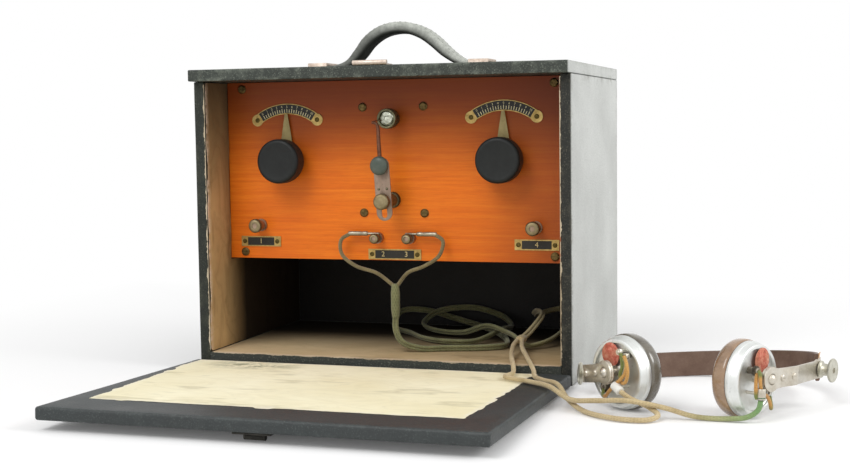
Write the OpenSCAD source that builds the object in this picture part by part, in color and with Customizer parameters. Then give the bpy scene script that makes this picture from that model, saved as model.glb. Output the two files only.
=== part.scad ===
// Portable crystal receiver in a covered wooden case, with its headset and cord.
// Origin: centre of the case's footprint, at the bottom. X right, Y back, Z up.

/* [Case] */
// Outside width of the case
case_w = 330; // [320:1:350]
// Depth of the side boards, front to back
case_d = 208; // [200:1:230]
// Overall height of the case
case_h = 259.5; // [255:0.5:275]
// Thickness of the side boards
side_t = 9.5; // [8:0.5:11]
// Thickness of the back board
back_t = 9.5; // [8:0.5:12]
// Thickness of the top board
top_t = 10; // [8:0.5:11]
// Thickness of the bottom board
bottom_t = 15.5; // [14:0.5:16]
// How far the top board stands past the closed door
lip_cover = 0.7; // [0.3:0.1:1.5]

/* [Panel] */
// Thickness of the instrument panel
panel_t = 6; // [5:0.5:8]
// Distance from the case's front edge back to the panel
panel_set = 46; // [40:1:54]
// Height of the panel's lower edge
panel_low = 94; // [90:1:95]
// Free play round the edge of the panel
panel_gap = 0.3; // [0.2:0.1:0.6]
// Width of the battens behind the panel
batten_w = 20; // [19:1:26]
// Depth of the battens behind the panel
batten_t = 12; // [11:0.5:16]
// Thickness of the shelf under the panel
shelf_t = 6; // [5:0.5:8]

/* [Screws] */
// Shank diameter of the panel screws
screw_d = 3.6; // [3:0.1:4]
// Head diameter of the panel screws
screw_head_d = 7.4; // [6:0.2:8.4]
// Head height of the panel screws
screw_head_h = 1.8; // [1.2:0.1:2.4]
// Length of the wood screws under the head
screw_len = 15; // [12:1:16]
// Free play round a screw or a bush
fit = 0.1; // [0.05:0.01:0.15]
// Corner screws, in from the panel's side edges
corner_side_in = 14.2; // [12.2:0.1:14.2]
// Upper corner screws, down from the panel's upper edge
corner_top_in = 5.7; // [5.2:0.1:11.2]
// Lower corner screws, up from the panel's lower edge
corner_low_in = 5.5; // [5.5:0.5:10]

/* [Dials] */
// Sideways distance of each dial from the middle
dial_x = 98; // [94:1:99]
// Dials' centres, down from the panel's upper edge
dial_down = 68.9; // [65.2:0.1:71.2]
// Outer radius of the scale
scale_r = 50; // [49:0.5:53]
// Inner radius of the scale
scale_in_r = 41; // [40:0.5:43]
// Half angle between the scale's screws
scale_angle = 38.4; // [34:0.2:40]
// Radius of the scale's round ends
scale_end_r = 5.2; // [4.6:0.1:6]
// Thickness of the scales and name plates
plate_t = 0.8; // [0.6:0.1:1.2]
// Diameter of the knob
knob_d = 38.5; // [34:0.5:44]
// Height of the knob's face over the panel
knob_out = 25; // [22:0.5:28]
// Height of the knob's back over the panel
knob_back = 3.2; // [3:0.1:5]
// Diameter of the tuning shaft
shaft_d = 6; // [5:0.1:6.35]
// Running play round the shaft, on each side
run_fit = 0.05; // [0.03:0.01:0.1]
// Outer diameter of the shaft's bush
bush_d = 9.4; // [8.6:0.1:11]
// Thickness of the bush's flange and nut
bush_flange_t = 1; // [0.8:0.1:1.4]
// Thickness of the pointer
pointer_t = 0.6; // [0.4:0.1:1]
// Length of the pointer from the shaft
pointer_len = 41; // [38:0.5:44]
// Width of the pointer's foot
pointer_w = 15; // [12:0.5:17]
// How far each dial turns to either side
dial_turn = 38; // [30:1:40]
// Length of the wiper arm
wiper_len = 68; // [64:1:70]

/* [Coil] */
// Width of the coil former
former_w = 90; // [84:1:92]
// Height of the coil former
former_h = 106; // [102:1:112]
// Former's centre, down from the panel's upper edge
former_down = 68.7; // [67.2:0.1:70.2]
// Thickness of the coil former
former_t = 3; // [2:0.5:4]
// Length of the spacers behind the panel
spacer_len = 14; // [13:0.5:16]
// Diameter of the spacers
spacer_d = 8; // [7:0.5:8]
// Coil screws, sideways from the middle
coil_screw_x = 27.5; // [24:0.5:30]
// Coil screws, up and down from the former's centre
coil_screw_dz = 45.5; // [45:0.5:47]
// Height of the winding
winding_h = 81; // [70:1:82]
// Thickness of the winding
winding_t = 2; // [1:0.5:2.5]

/* [Detector] */
// Crystal cup, down from the panel's upper edge
cup_down = 33.3; // [31.2:0.1:35.2]
// Diameter of the crystal cup
crystal_cup_d = 17; // [15:0.5:18]
// Height of the cup over the panel
crystal_cup_out = 18; // [16:0.5:19]
// Sideways place of the detector post
post_x = -1; // [-3:0.5:3]
// Detector post, down from the panel's upper edge
post_down = 103; // [101.2:0.1:104.2]
// Diameter of the detector post
post_d = 14; // [12:0.5:15]
// Height of the post over the panel
post_out = 23; // [20:0.5:24]
// Stud diameter of the detector post
post_stud_d = 4; // [3.5:0.1:4.4]
// Thickness of the detector's spring strip
strip_t = 1.2; // [0.8:0.1:1.5]
// Width of the spring strip
strip_w = 14; // [12:0.5:15]
// Length of the strip above the post
strip_up = 30.3; // [28:0.5:32]
// Length of the strip below the post
strip_down = 9.4; // [9:0.2:11]
// Tilt of the strip to the left
strip_tilt = 3.5; // [0:0.5:6]
// Diameter of the detector's thumb nut
thumb_d = 13.5; // [12:0.5:14]
// Height of the detector's thumb nut
thumb_h = 8.8; // [7:0.2:10]
// Diameter of the whisker's knob
whisker_knob_d = 16; // [14:0.5:18]
// Diameter of the whisker's rod
whisker_rod_d = 2.3; // [1.8:0.1:3]
// Length of the whisker's rod from its knob
whisker_len = 34.5; // [33:0.5:35]
// How far the whisker turns to either side
whisker_turn = 20; // [10:1:25]

/* [Binding posts] */
// Ground and aerial posts, in from the panel's side edges
side_post_in = 30.2; // [27.2:0.1:33.2]
// Ground and aerial posts, up from the panel's lower edge
side_post_up = 29.5; // [28:0.5:32]
// Head diameter of the ground and aerial nuts
side_nut_d = 12.2; // [11:0.2:14]
// Height of the ground and aerial nuts
side_nut_h = 5.6; // [5:0.2:7]
// Stud diameter of the binding posts
stud_d = 4.6; // [4:0.1:5]
// Body diameter of the ground and aerial posts
side_body_d = 9; // [8:0.2:10]
// Height of the ground and aerial posts' bodies
side_body_h = 10; // [9:0.2:11]
// Wire hole through the post bodies
wire_hole_d = 2.6; // [2:0.1:3]
// Telephone posts, sideways from the middle
phone_post_x = 14.6; // [14:0.2:16]
// Telephone posts, up from the panel's lower edge
phone_post_up = 19.5; // [19:0.1:20]
// Collar diameter of the telephone posts
phone_collar_d = 9.6; // [9:0.1:10]
// Collar height of the telephone posts
phone_collar_h = 5; // [4:0.1:6]
// Nut diameter of the telephone posts
phone_nut_d = 8.8; // [8.6:0.1:9.4]
// Nut height of the telephone posts
phone_nut_h = 6.4; // [5:0.1:7]
// Diameter of the telephone tips' pins
pin_d = 2.2; // [1.8:0.1:2.4]
// Height of a tip's pin over the stud's centre
pin_rise = 3.9; // [3.8:0.05:4.1]
// Diameter of the telephone tips' ferrules
tip_d = 4; // [3.4:0.1:4.4]
// Outer end of the tips, from the middle
tip_end_x = 40; // [39:0.5:41]
// Inner end of the tips' ferrules, from the middle
ferrule_end_x = 22; // [21:0.5:24]
// Width of the ground and aerial plates
side_plate_w = 38; // [36:0.5:40]
// Width of the telephone plate
phone_plate_w = 48; // [46:0.5:50]
// Height of the three plates
label_h = 9; // [8.6:0.2:9.6]
// Ground and aerial plates' centre, up from the panel's lower edge
side_plate_up = 15; // [14.5:0.1:16]
// Telephone plate's centre, up from the panel's lower edge
phone_plate_up = 5.2; // [5:0.1:6]
// Pin inset from the end of a plate
plate_pin_in = 3.4; // [3.2:0.1:4]
// Head diameter of the plates' pins
pin_head_d = 4; // [3.4:0.1:4.4]

/* [Door] */
// Thickness of the door
door_t = 10; // [9:0.5:11]
// Gap between the closed door and the case's front
door_gap = 0.3; // [0.2:0.1:0.6]
// Gap between the closed door and the top board
door_top_gap = 2; // [1.5:0.1:3]
// Upward tilt of the open door
door_tilt = 1.7; // [1.5:0.1:2]
// Thickness of the door's lining paper
paper_t = 0.2; // [0.1:0.05:0.25]
// Margin of bare covering round the paper
paper_margin = 18; // [14:1:24]
// Diameter of the hinge pin
hinge_pin_d = 2; // [1.6:0.1:2.4]
// Outer diameter of the hinge knuckles
knuckle_d = 4.6; // [4.4:0.1:4.8]
// Thickness of the hinge leaves
leaf_t = 1.2; // [1:0.1:1.3]
// Length of each hinge
hinge_len = 46; // [36:1:56]
// Sideways place of each hinge
hinge_x = 105; // [95:1:115]
// Depth of the case's hinge leaf under the bottom board
leaf_reach = 20; // [14:1:26]
// Height of the hinge pin over the table
hinge_z = 2.5; // [2.5:0.1:2.7]
// Gap between hinge knuckles
knuckle_gap = 0.2; // [0.1:0.05:0.4]

/* [Catch] */
// Width of the catch plate on the door
catch_w = 28; // [24:1:32]
// Catch's pivot, in from the door's free end
catch_in = 9; // [8:0.5:10]
// Diameter of the catch's pivot pin
catch_pin_d = 1.8; // [1.4:0.1:2]
// Thickness of the catch's hook
hook_t = 1.4; // [1.2:0.1:1.6]
// Width of the hook
hook_w = 10; // [8:0.5:12]
// Width of the strike plate on the top board
strike_w = 29.5; // [26:0.5:32]
// Depth of the strike plate on the top board
strike_deep = 14; // [10:0.5:20]
// Diameter of the strike's roll
roll_d = 4; // [3.6:0.1:4.2]

/* [Handle] */
// Sideways place of the handle's middle
handle_x = -7.5; // [-12:0.5:12]
// Place of the handle's middle, front to back
handle_y = -12; // [-20:1:10]
// Width of the strap
strap_w = 22; // [20:0.5:26]
// Thickness of the strap's flat ends
strap_t = 4; // [3.5:0.1:4.5]
// Thickness of the strap's grip
grip_t = 9.5; // [8:0.5:11]
// Height of the grip's top over the case
grip_rise = 41.8; // [36:0.2:48]
// Half length of the strap
strap_half = 109.5; // [104:0.5:114]
// Half width of the strap's hump
hump_half = 64; // [60:0.5:66]
// Half width of the hump's flat top
hump_flat = 10; // [6:0.5:14]
// Sideways distance of each keeper from the handle's middle
keeper_x = 74.5; // [74:0.5:84]
// Width of each keeper
keeper_w = 18; // [14:0.5:20]
// Thickness of the keepers
keeper_t = 2.4; // [2:0.1:3]
// Free play of the strap in its keepers
keeper_play = 0.6; // [0.4:0.1:1]

/* [Headset] */
// Gap between the case and the headband's left end
headset_gap = 27.5; // [24:0.5:36]
// Radius of the earpiece caps
cap_r = 28; // [26:0.5:28]
// Thickness of the earpiece caps
cap_h = 12.5; // [11:0.5:14]
// Radius of the sound hole
sound_r = 7; // [5:0.5:9]
// Depth of the earpiece cups
cup_h = 9; // [8:0.5:11]
// Radius of the cup's back rim
cup_back_r = 25; // [23:0.5:25.5]
// Wall of the earpiece cups
cup_wall = 1.6; // [1.2:0.1:2]
// Depth of the recess in the cup's back
recess = 2; // [1:0.2:3]
// Distance from the ball to the back of the cup
ball_out = 10.5; // [10:0.5:12]
// Height of the ball over the table
ball_z = 30; // [29.5:0.5:31]
// Radius of the ball
ball_r = 4; // [3.5:0.1:4.4]
// Thickness of each arm plate
arm_t = 1.6; // [1.4:0.1:1.6]
// Radius of the arm's round end at the ball
arm_end_r = 8.75; // [8:0.25:9.5]
// Height of the arm
arm_h = 13; // [11:0.5:14]
// Length of the arm from the ball to its bend
arm_in = 32; // [31:0.5:34]
// Length of the left arm from its bend to its stud
left_out = 36; // [34:0.5:37]
// Length of the right arm from its bend to its stud
right_out = 38; // [36:0.5:39]
// First clamp screw, from the ball
clamp_first = 12; // [11.5:0.5:13]
// Distance between the clamp screws
clamp_pitch = 13; // [12:0.5:14]
// Diameter of the arm's stud
arm_stud_d = 4; // [3.6:0.1:4.4]
// Flange diameter of the arm's thumb nut
arm_nut_d = 17.5; // [16:0.5:19]
// Length of the arm's thumb nut
arm_nut_h = 10.4; // [9:0.2:10.6]
// Radius of the headband's curve
band_r = 80.5; // [79:0.5:81]
// Height of the headband
band_h = 20; // [16:0.5:21]
// Thickness of the headband
band_t = 3; // [2:0.2:3.4]
// Length of the headband's straight ends
band_leg = 12; // [8:0.5:14]

/* [Cord] */
// Diameter of the main cord
cord_d = 5.6; // [4.8:0.1:5.6]
// Diameter of the two branches
branch_d = 3.8; // [3:0.1:3.8]
// Diameter of the tip leads
lead_d = 3.2; // [2.6:0.1:3.4]
// Diameter of the sleeve under the telephone posts
sleeve_d = 7.8; // [7.4:0.1:8.4]
// Diameter of the yoke where the branches part
yoke_d = 8.8; // [8.4:0.1:9.4]

/* [Hidden] */
$fn = 48;

// A cut reaches past the face that it opens
cut = 1;
half_w = case_w / 2;
in_x = half_w - side_t;
front_y = -case_d / 2;
back_y = case_d / 2 - back_t;
top_z = case_h - top_t;
panel_front = front_y + panel_set;
panel_back = panel_front + panel_t;
panel_top = top_z - panel_gap;
panel_side = in_x - panel_gap;
corner_screw_x = panel_side - corner_side_in;
corner_high_z = panel_top - corner_top_in;
corner_low_z = panel_low + corner_low_in;
dial_z = panel_top - dial_down;
former_z = panel_top - former_down;
cup_z = panel_top - cup_down;
post_z = panel_top - post_down;
side_post_x = panel_side - side_post_in;
side_post_z = panel_low + side_post_up;
phone_post_z = panel_low + phone_post_up;
side_plate_z = panel_low + side_plate_up;
phone_plate_z = panel_low + phone_plate_up;
coil_screw_len = panel_t + spacer_len;
former_front = panel_back + spacer_len;
wiper_gap = 0.3;
wiper_t = 1.2;
bush_len = bush_flange_t + panel_t + 4;
shaft_head = knob_out - 5;

corner_screws = [
    [-corner_screw_x, corner_high_z], [corner_screw_x, corner_high_z],
    [-corner_screw_x, corner_low_z], [corner_screw_x, corner_low_z]
];
coil_screws = [
    for (sx = [-1, 1], sz = [-1, 1]) [sx * coil_screw_x, former_z + sz * coil_screw_dz]
];
stud_places = [
    [-side_post_x, side_post_z], [side_post_x, side_post_z],
    [-phone_post_x, phone_post_z], [phone_post_x, phone_post_z]
];

hinge_in = door_t - 2;
hinge_y = front_y - door_gap - hinge_in;
door_len = top_z - door_top_gap - hinge_z;
door_start = -2;
knuckle_r = knuckle_d / 2;
leaf_room = 0.4;
lip_y = front_y - door_gap - door_t - lip_cover;

headset_drop = 2;
cup_out = ball_out;
rim_at = cup_out + cup_h;
disc_t = 0.3;
cap_at = rim_at + disc_t;
rim_r = cap_r - 0.7;
plate_gap = 0.1;
arm_half = arm_t + plate_gap;

// The headband lies beside the case, and the earpieces hang from its two ends
band_centre = [half_w + headset_gap + band_r, -114, 20.7];
band_tilt = [-6.5, -3.45, 0];
left_ball = [band_centre[0] - band_r + 16.3, -199.3, ball_z];
right_ball = [band_centre[0] + band_r - 28.9, -198.4, ball_z];

// Each earpiece: its ball, its listening direction, the arm's two directions,
// the arm's slope, the length past the bend and the side that the nut is on
left_ear = [left_ball, 54.4, 131.4, 90, 10.7, left_out, 1];
right_ear = [right_ball, 151, 56.7, 68.7, 2, right_out, -1];

// Small fixed sizes of the fittings
strike_t = 1;
roll_gap = 0.05;
strap_steps = 16;
keeper_foot_t = 1;
outer_knuckle = hinge_len / 4;
paper_start = knuckle_r + 1.7;
catch_s = door_len - catch_in;
catch_plate_t = 1.2;
catch_drop = 3.6;
catch_outer = -(door_t - hinge_in);
ear_w = 1.5;
barrel_d = 4.6;
hook_len = case_h + roll_gap + roll_d - hinge_z - catch_s + 0.4;
hook_grip = 2.2;
plate_hole_d = 2.2;
pin_head_h = 0.7;
pointer_base = 2.4;
cup_seat = 5;
cup_lip = 2;
strip_play = 0.1;
strip_slot_w = 4.8;
rod_hole_d = 5;
whisker_knob_h = 8.4;
tip_reach = crystal_cup_out - 0.6;
wire_gap = 0.2;
ferrule_d = 6;
ferrule_len = 7.5;
clamp_hole_d = 3.2;

sleeve_top = [4, -70, 75];
sleeve_len = 29;
yoke_start = [108, -38, 27];
yoke_len = 12;

main_route = [
    [4, -70, 47], [4, -70, 36], [9, -69, 25], [24, -64, 19.2], [46, -55, 18.8],
    [72, -47, 18.8], [90, -32, 18.8], [86, -6, 18.8], [68, 34, 18.8], [46, 62, 20],
    [14, 82, 24], [-18, 86, 31], [-40, 78, 31], [-40, 54, 20], [-12, 20, 18.8],
    [10, -8, 18.8], [34, -22, 19], [58, -15, 19], [75, 14, 25.5], [74, 58, 22],
    [58, 83, 28], [30, 85, 35], [0, 71, 33], [-9, 48, 24], [8, 28, 21], [40, 14, 22],
    [66, 2, 30.5], [87, -10, 27], [97, -22, 25.5], [110, -30, 19.4], [122, -22, 21],
    [131, 4, 26], [136, 36, 36], [130, 66, 40], [112, 76, 37], [97, 58, 34],
    [106, 26, 42], [116, 2, 42], [111, -24, 31], [108, -39, 27]
];
right_route = [
    [105.8, -49, 27], [106, -64, 24.5], [111, -90, 20], [119, -116, 17],
    [123, -134, 14.2], [121, -150, 14.4], [131, -160, 14.8], [148, -172, 15.1],
    [166, -190, 15.5], [182, -199, 9], [204, -209, 11], [226, -214, 13],
    [252, -212, 9], [274, -208, 2.8], [298, -208, 2.6], [310, -208.5, 4.5],
    [317, -207, 9.5], [318.8, -206.9, 16.2]
];
left_route = [
    [110.2, -49, 27], [114, -66, 24], [124, -90, 20], [137, -122, 15.2],
    [144, -146, 14.3], [154, -162, 15], [169, -178, 15.2], [179, -190, 7],
    [194, -207, 2.6], [214, -223, 2.4], [232, -228, 2.4], [244, -225, 2.6],
    [249, -216, 4.2], [241, -209, 8.4], [229, -209.5, 13.4], [220.9, -206.5, 17.7]
];
left_tip_route = [
    [-38, -64.3, 117.4], [-46, -66.5, 112], [-44, -71, 100], [-31, -72, 90],
    [-12, -71, 84], [1.8, -70, 74]
];
right_tip_route = [
    [38, -64.3, 117.4], [46, -66.5, 112], [44, -71, 100], [31, -72, 91],
    [16, -71, 85], [6.2, -70, 74]
];

// Shared shapes

// Stands things on the panel's front: X right, Y up, Z out of the panel
module at_panel(x, z) {
    translate([x, panel_front, z]) rotate([90, 0, 0]) children();
}

// A round-headed slotted screw, its head over the plane and its shank under it
module slotted_screw(head_d, head_h, shank_d, len) {
    slot_w = head_d * 0.14;
    difference() {
        union() {
            cylinder(d = head_d, h = head_h * 0.5);
            translate([0, 0, head_h * 0.5])
                cylinder(d1 = head_d, d2 = head_d * 0.72, h = head_h * 0.5);
        }
        translate([-head_d, -slot_w / 2, head_h * 0.55])
            cube([head_d * 2, slot_w, head_h]);
    }
    translate([0, 0, -len]) cylinder(d = shank_d, h = len);
}

// A thumb nut with coarse grips cut round its edge, on the plane
module grip_nut(d, h, bore_d, grips = 12) {
    difference() {
        cylinder(d = d, h = h);
        translate([0, 0, -cut]) cylinder(d = bore_d, h = h + 2 * cut);
        for (i = [0 : grips - 1])
            rotate([0, 0, i * 360 / grips]) translate([d / 2, 0, -cut])
                cylinder(d = d * 0.09, h = h + 2 * cut, $fn = 4);
    }
}

// A round rod between two points
module rod(a, b, d) {
    v = b - a;
    len = norm(v);
    translate(a) rotate([0, acos(v[2] / len), atan2(v[1], v[0])])
        cylinder(d = d, h = len);
}

// Vectors and rings of a swept tube
function unit(v) = v / norm(v);
function ways(p) = [
    for (i = [0 : len(p) - 1]) unit(p[min(i + 1, len(p) - 1)] - p[max(i - 1, 0)])
];
function square_to(t) = unit(cross(t, abs(t[2]) < 0.8 ? [0, 0, 1] : [1, 0, 0]));
function sides_of(t) = [
    for (i = 0, n = square_to(t[0]); i < len(t);
         i = i + 1, n = i < len(t) ? unit(n - (n * t[i]) * t[i]) : n) n
];

// A closed tube along a list of points
module tube(p, d, sides = 8) {
    t = ways(p);
    n = sides_of(t);
    rings = len(p);
    points = [
        for (i = [0 : rings - 1], k = [0 : sides - 1])
            let (b = cross(t[i], n[i]), a = k * 360 / sides)
                p[i] + d / 2 * (cos(a) * n[i] + sin(a) * b)
    ];
    first = [for (k = [sides - 1 : -1 : 0]) k];
    last = [for (k = [0 : sides - 1]) (rings - 1) * sides + k];
    walls = [
        for (i = [0 : rings - 2], k = [0 : sides - 1], half = [0, 1])
            let (a = i * sides + k, b = i * sides + (k + 1) % sides)
                half == 0 ? [a, b, b + sides] : [a, b + sides, a + sides]
    ];
    polyhedron(points = points, faces = concat([first], walls, [last]), convexity = 8);
}

// Case

module case_bottom() {
    color("#2b2c2a") difference() {
        translate([-in_x, front_y, 0]) cube([2 * in_x, back_y - front_y, bottom_t]);
        for (s = [-1, 1])
            translate([s * hinge_x - hinge_len / 2 - leaf_room, front_y - cut, -cut])
                cube([hinge_len + 2 * leaf_room, leaf_reach + leaf_room + cut,
                      hinge_z - knuckle_r + leaf_t + leaf_room + cut]);
    }
}

module side_board(s) {
    color("#2e312f")
        translate([s > 0 ? in_x : -half_w, front_y, 0]) cube([side_t, case_d, top_z]);
}

module case_left_side() {
    side_board(-1);
}

module case_right_side() {
    side_board(1);
}

module case_back() {
    color("#2b2c2a") translate([-in_x, back_y, 0]) cube([2 * in_x, back_t, top_z]);
}

module case_top() {
    color("#2e312f")
        translate([-half_w, lip_y, top_z]) cube([case_w, case_d / 2 - lip_y, top_t]);
}

// Battens at both sides of the panel's back, standing on the shelf
module panel_frame() {
    color("#9a7650") difference() {
        union() {
            translate([-in_x, panel_back, panel_low])
                cube([2 * in_x, back_y - panel_back, shelf_t]);
            for (s = [-1, 1])
                translate([s > 0 ? in_x - batten_w : -in_x, panel_back, panel_low])
                    cube([batten_w, batten_t, top_z - panel_low]);
        }
        for (p = corner_screws)
            at_panel(p[0], p[1]) translate([0, 0, -screw_len - panel_t + 4])
                cylinder(d = screw_d + 2 * fit, h = screw_len);
    }
}

module front_panel() {
    color("#c4551d") difference() {
        translate([-panel_side, panel_front, panel_low])
            cube([2 * panel_side, panel_t, panel_top - panel_low]);
        for (p = concat(corner_screws, coil_screws))
            at_panel(p[0], p[1]) translate([0, 0, -panel_t - cut])
                cylinder(d = screw_d + 2 * fit, h = panel_t + 2 * cut);
        for (p = stud_places)
            at_panel(p[0], p[1]) translate([0, 0, -panel_t - cut])
                cylinder(d = stud_d + 2 * fit, h = panel_t + 2 * cut);
        for (p = [[post_x, post_z], [0, cup_z]])
            at_panel(p[0], p[1]) translate([0, 0, -panel_t - cut])
                cylinder(d = post_stud_d + 2 * fit, h = panel_t + 2 * cut);
        for (s = [-1, 1])
            at_panel(s * dial_x, dial_z) translate([0, 0, -panel_t - cut])
                cylinder(d = bush_d + 2 * fit, h = panel_t + 2 * cut);
    }
}

module panel_screws() {
    color("#8d8a7a") {
        for (p = corner_screws)
            at_panel(p[0], p[1])
                slotted_screw(screw_head_d, screw_head_h, screw_d, screw_len);
        for (p = coil_screws)
            at_panel(p[0], p[1])
                slotted_screw(screw_head_d, screw_head_h, screw_d, coil_screw_len);
    }
}

// Plate on the top board, with a roll along the front edge that the hook grips
module strike_plate() {
    roll_y = lip_y - strike_t + roll_d / 2;
    color("#b79a86") {
        translate([-strike_w / 2, roll_y, case_h])
            cube([strike_w, strike_deep, strike_t]);
        translate([-strike_w / 2, roll_y, case_h + roll_gap + roll_d / 2])
            rotate([0, 90, 0]) cylinder(d = roll_d, h = strike_w);
    }
}

// The strap's upper or lower edge: a smooth rise to a flat top
function smooth(t) = t <= 0 ? 0 : t >= 1 ? 1 : t * t * (3 - 2 * t);
function hump(x) = smooth((hump_half - abs(x)) / (hump_half - hump_flat));
function strap_edge(low, rise) = concat(
    [[-strap_half, low]],
    [for (i = [-strap_steps : strap_steps])
        let (x = i * hump_half / strap_steps) [x, low + rise * hump(x)]],
    [[strap_half, low]]
);

module handle_strap() {
    over = strap_edge(strap_t, grip_rise - strap_t);
    under = strap_edge(0, grip_rise - grip_t);
    color("#2f2b28")
        translate([handle_x, handle_y + strap_w / 2, case_h]) rotate([90, 0, 0])
            linear_extrude(strap_w)
                polygon(concat(over, [for (i = [len(under) - 1 : -1 : 0]) under[i]]));
}

module handle_keepers() {
    inner_w = strap_w + 2 * keeper_play;
    inner_h = strap_t + keeper_play;
    foot = 6;
    color("#8f8a80") for (s = [-1, 1])
        translate([handle_x + s * keeper_x - keeper_w / 2, handle_y, case_h])
            difference() {
                union() {
                    translate([0, -inner_w / 2 - keeper_t, 0])
                        cube([keeper_w, inner_w + 2 * keeper_t, inner_h + keeper_t]);
                    translate([0, -inner_w / 2 - keeper_t - foot, 0])
                        cube([keeper_w, inner_w + 2 * (keeper_t + foot), keeper_foot_t]);
                }
                translate([-cut, -inner_w / 2, -cut])
                    cube([keeper_w + 2 * cut, inner_w, inner_h + cut]);
            }
}

// Hinges: two outer knuckles and the pin on the case, one middle knuckle on the door

module case_hinges() {
    color("#6f6a58") for (s = [-1, 1])
        translate([s * hinge_x - hinge_len / 2, hinge_y, hinge_z]) {
            for (x = [0, hinge_len - outer_knuckle]) {
                translate([x, 0, 0]) rotate([0, 90, 0])
                    cylinder(r = knuckle_r, h = outer_knuckle);
                translate([x, 0, -knuckle_r])
                    cube([outer_knuckle, front_y - hinge_y, leaf_t]);
            }
            rotate([0, 90, 0]) cylinder(d = hinge_pin_d, h = hinge_len);
            translate([0, front_y - hinge_y, -knuckle_r])
                cube([hinge_len, leaf_reach, leaf_t]);
        }
}

// Places a child in the door's own frame: -Y along the door from the hinge pin,
// Z up through its thickness
module at_door() {
    translate([0, hinge_y, hinge_z]) rotate([-door_tilt, 0, 0]) children();
}

module door_hinge_leaves() {
    middle = hinge_len - 2 * outer_knuckle - 2 * knuckle_gap;
    color("#6f6a58") at_door() for (s = [-1, 1])
        translate([s * hinge_x - middle / 2, 0, 0]) difference() {
            union() {
                rotate([0, 90, 0]) cylinder(r = knuckle_r, h = middle);
                translate([0, -knuckle_r, 0]) cube([middle, leaf_t, hinge_in]);
            }
            translate([-cut, 0, 0]) rotate([0, 90, 0])
                cylinder(d = hinge_pin_d + 2 * run_fit, h = middle + 2 * cut);
        }
}

module door_board() {
    notch = hinge_len + 2 * leaf_room;
    color("#2c302c") at_door() difference() {
        translate([-half_w, -door_len, -(door_t - hinge_in)])
            cube([case_w, door_len - door_start, door_t]);
        for (s = [-1, 1])
            translate([s * hinge_x - notch / 2, -knuckle_r, -door_t])
                cube([notch, door_t, 3 * door_t]);
    }
}

module door_paper() {
    color("#cfc3a4") at_door()
        translate([-half_w + paper_margin, -door_len + paper_margin, hinge_in])
            cube([case_w - 2 * paper_margin, door_len - paper_margin - paper_start, paper_t]);
}

// Catch on the door's outer face, its hook folded back toward the hinge

module at_catch() {
    at_door() translate([0, -catch_s, catch_outer - catch_drop]) children();
}

module catch_plate() {
    ear_x = hook_w / 2 + 1.2;
    color("#6f6a58") {
        at_door() translate([-catch_w / 2, -catch_s - 7, catch_outer - catch_plate_t])
            cube([catch_w, 28, catch_plate_t]);
        at_catch() {
            for (s = [-1, 1])
                translate([s * (ear_x + ear_w / 2), 0, 0]) {
                    rotate([0, 90, 0]) cylinder(d = barrel_d, h = ear_w, center = true);
                    translate([-ear_w / 2, -barrel_d / 2, 0])
                        cube([ear_w, barrel_d, catch_drop - catch_plate_t]);
                }
            rotate([0, 90, 0])
                cylinder(d = catch_pin_d, h = 2 * (ear_x + ear_w), center = true);
        }
    }
}

module catch_hook() {
    ear_x = hook_w / 2 + 1.2;
    bar_top = barrel_d / 2 - 1.7;
    color("#6f6a58") at_catch() difference() {
        union() {
            rotate([0, 90, 0])
                cylinder(d = barrel_d, h = 2 * (ear_x - knuckle_gap), center = true);
            translate([-hook_w / 2, 0, bar_top - hook_t]) cube([hook_w, hook_len, hook_t]);
            translate([-hook_w / 2, hook_len, bar_top - hook_t - hook_grip])
                cube([hook_w, hook_t, hook_t + hook_grip]);
        }
        rotate([0, 90, 0]) cylinder(d = catch_pin_d + 2 * run_fit, h = 2 * hook_w + 9,
                                    center = true);
    }
}

// Instruments

// A dial's arc scale with round ends, on the panel
module scale_plate() {
    mid_r = (scale_r + scale_in_r) / 2;
    difference() {
        union() {
            linear_extrude(plate_t) difference() {
                circle(r = scale_r, $fn = 160);
                circle(r = scale_in_r, $fn = 160);
                for (s = [-1, 1])
                    rotate(-s * scale_angle) translate([s > 0 ? 0 : -2 * scale_r, -2 * scale_r])
                        square([2 * scale_r, 4 * scale_r]);
                translate([-2 * scale_r, -4 * scale_r]) square(4 * scale_r);
            }
            for (s = [-1, 1])
                rotate(s * scale_angle) translate([0, mid_r, 0])
                    cylinder(r = scale_end_r, h = plate_t);
        }
        for (s = [-1, 1])
            rotate(s * scale_angle) translate([0, mid_r, -cut])
                cylinder(d = plate_hole_d, h = plate_t + 2 * cut);
    }
}

module name_plate(w) {
    difference() {
        translate([-w / 2, -label_h / 2, 0]) cube([w, label_h, plate_t]);
        for (s = [-1, 1])
            translate([s * (w / 2 - plate_pin_in), 0, -cut])
                cylinder(d = plate_hole_d, h = plate_t + 2 * cut);
    }
}

module panel_plates() {
    color("#b9a46a") {
        for (s = [-1, 1]) {
            at_panel(s * dial_x, dial_z) scale_plate();
            at_panel(s * (side_post_x + 0.5), side_plate_z) name_plate(side_plate_w);
        }
        at_panel(0, phone_plate_z) name_plate(phone_plate_w);
    }
}

// Small round-headed pins through the plates
module plate_pin() {
    translate([0, 0, plate_t])
        slotted_screw(pin_head_d, pin_head_h, plate_hole_d - 2 * fit, plate_t);
}

module panel_pins() {
    mid_r = (scale_r + scale_in_r) / 2;
    color("#8a7a48") {
        for (s = [-1, 1], t = [-1, 1]) {
            at_panel(s * dial_x, dial_z)
                rotate(t * scale_angle) translate([0, mid_r, 0]) plate_pin();
            at_panel(s * (side_post_x + 0.5), side_plate_z)
                translate([t * (side_plate_w / 2 - plate_pin_in), 0, 0]) plate_pin();
        }
        for (t = [-1, 1])
            at_panel(t * (phone_plate_w / 2 - plate_pin_in), phone_plate_z) plate_pin();
    }
}

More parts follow.
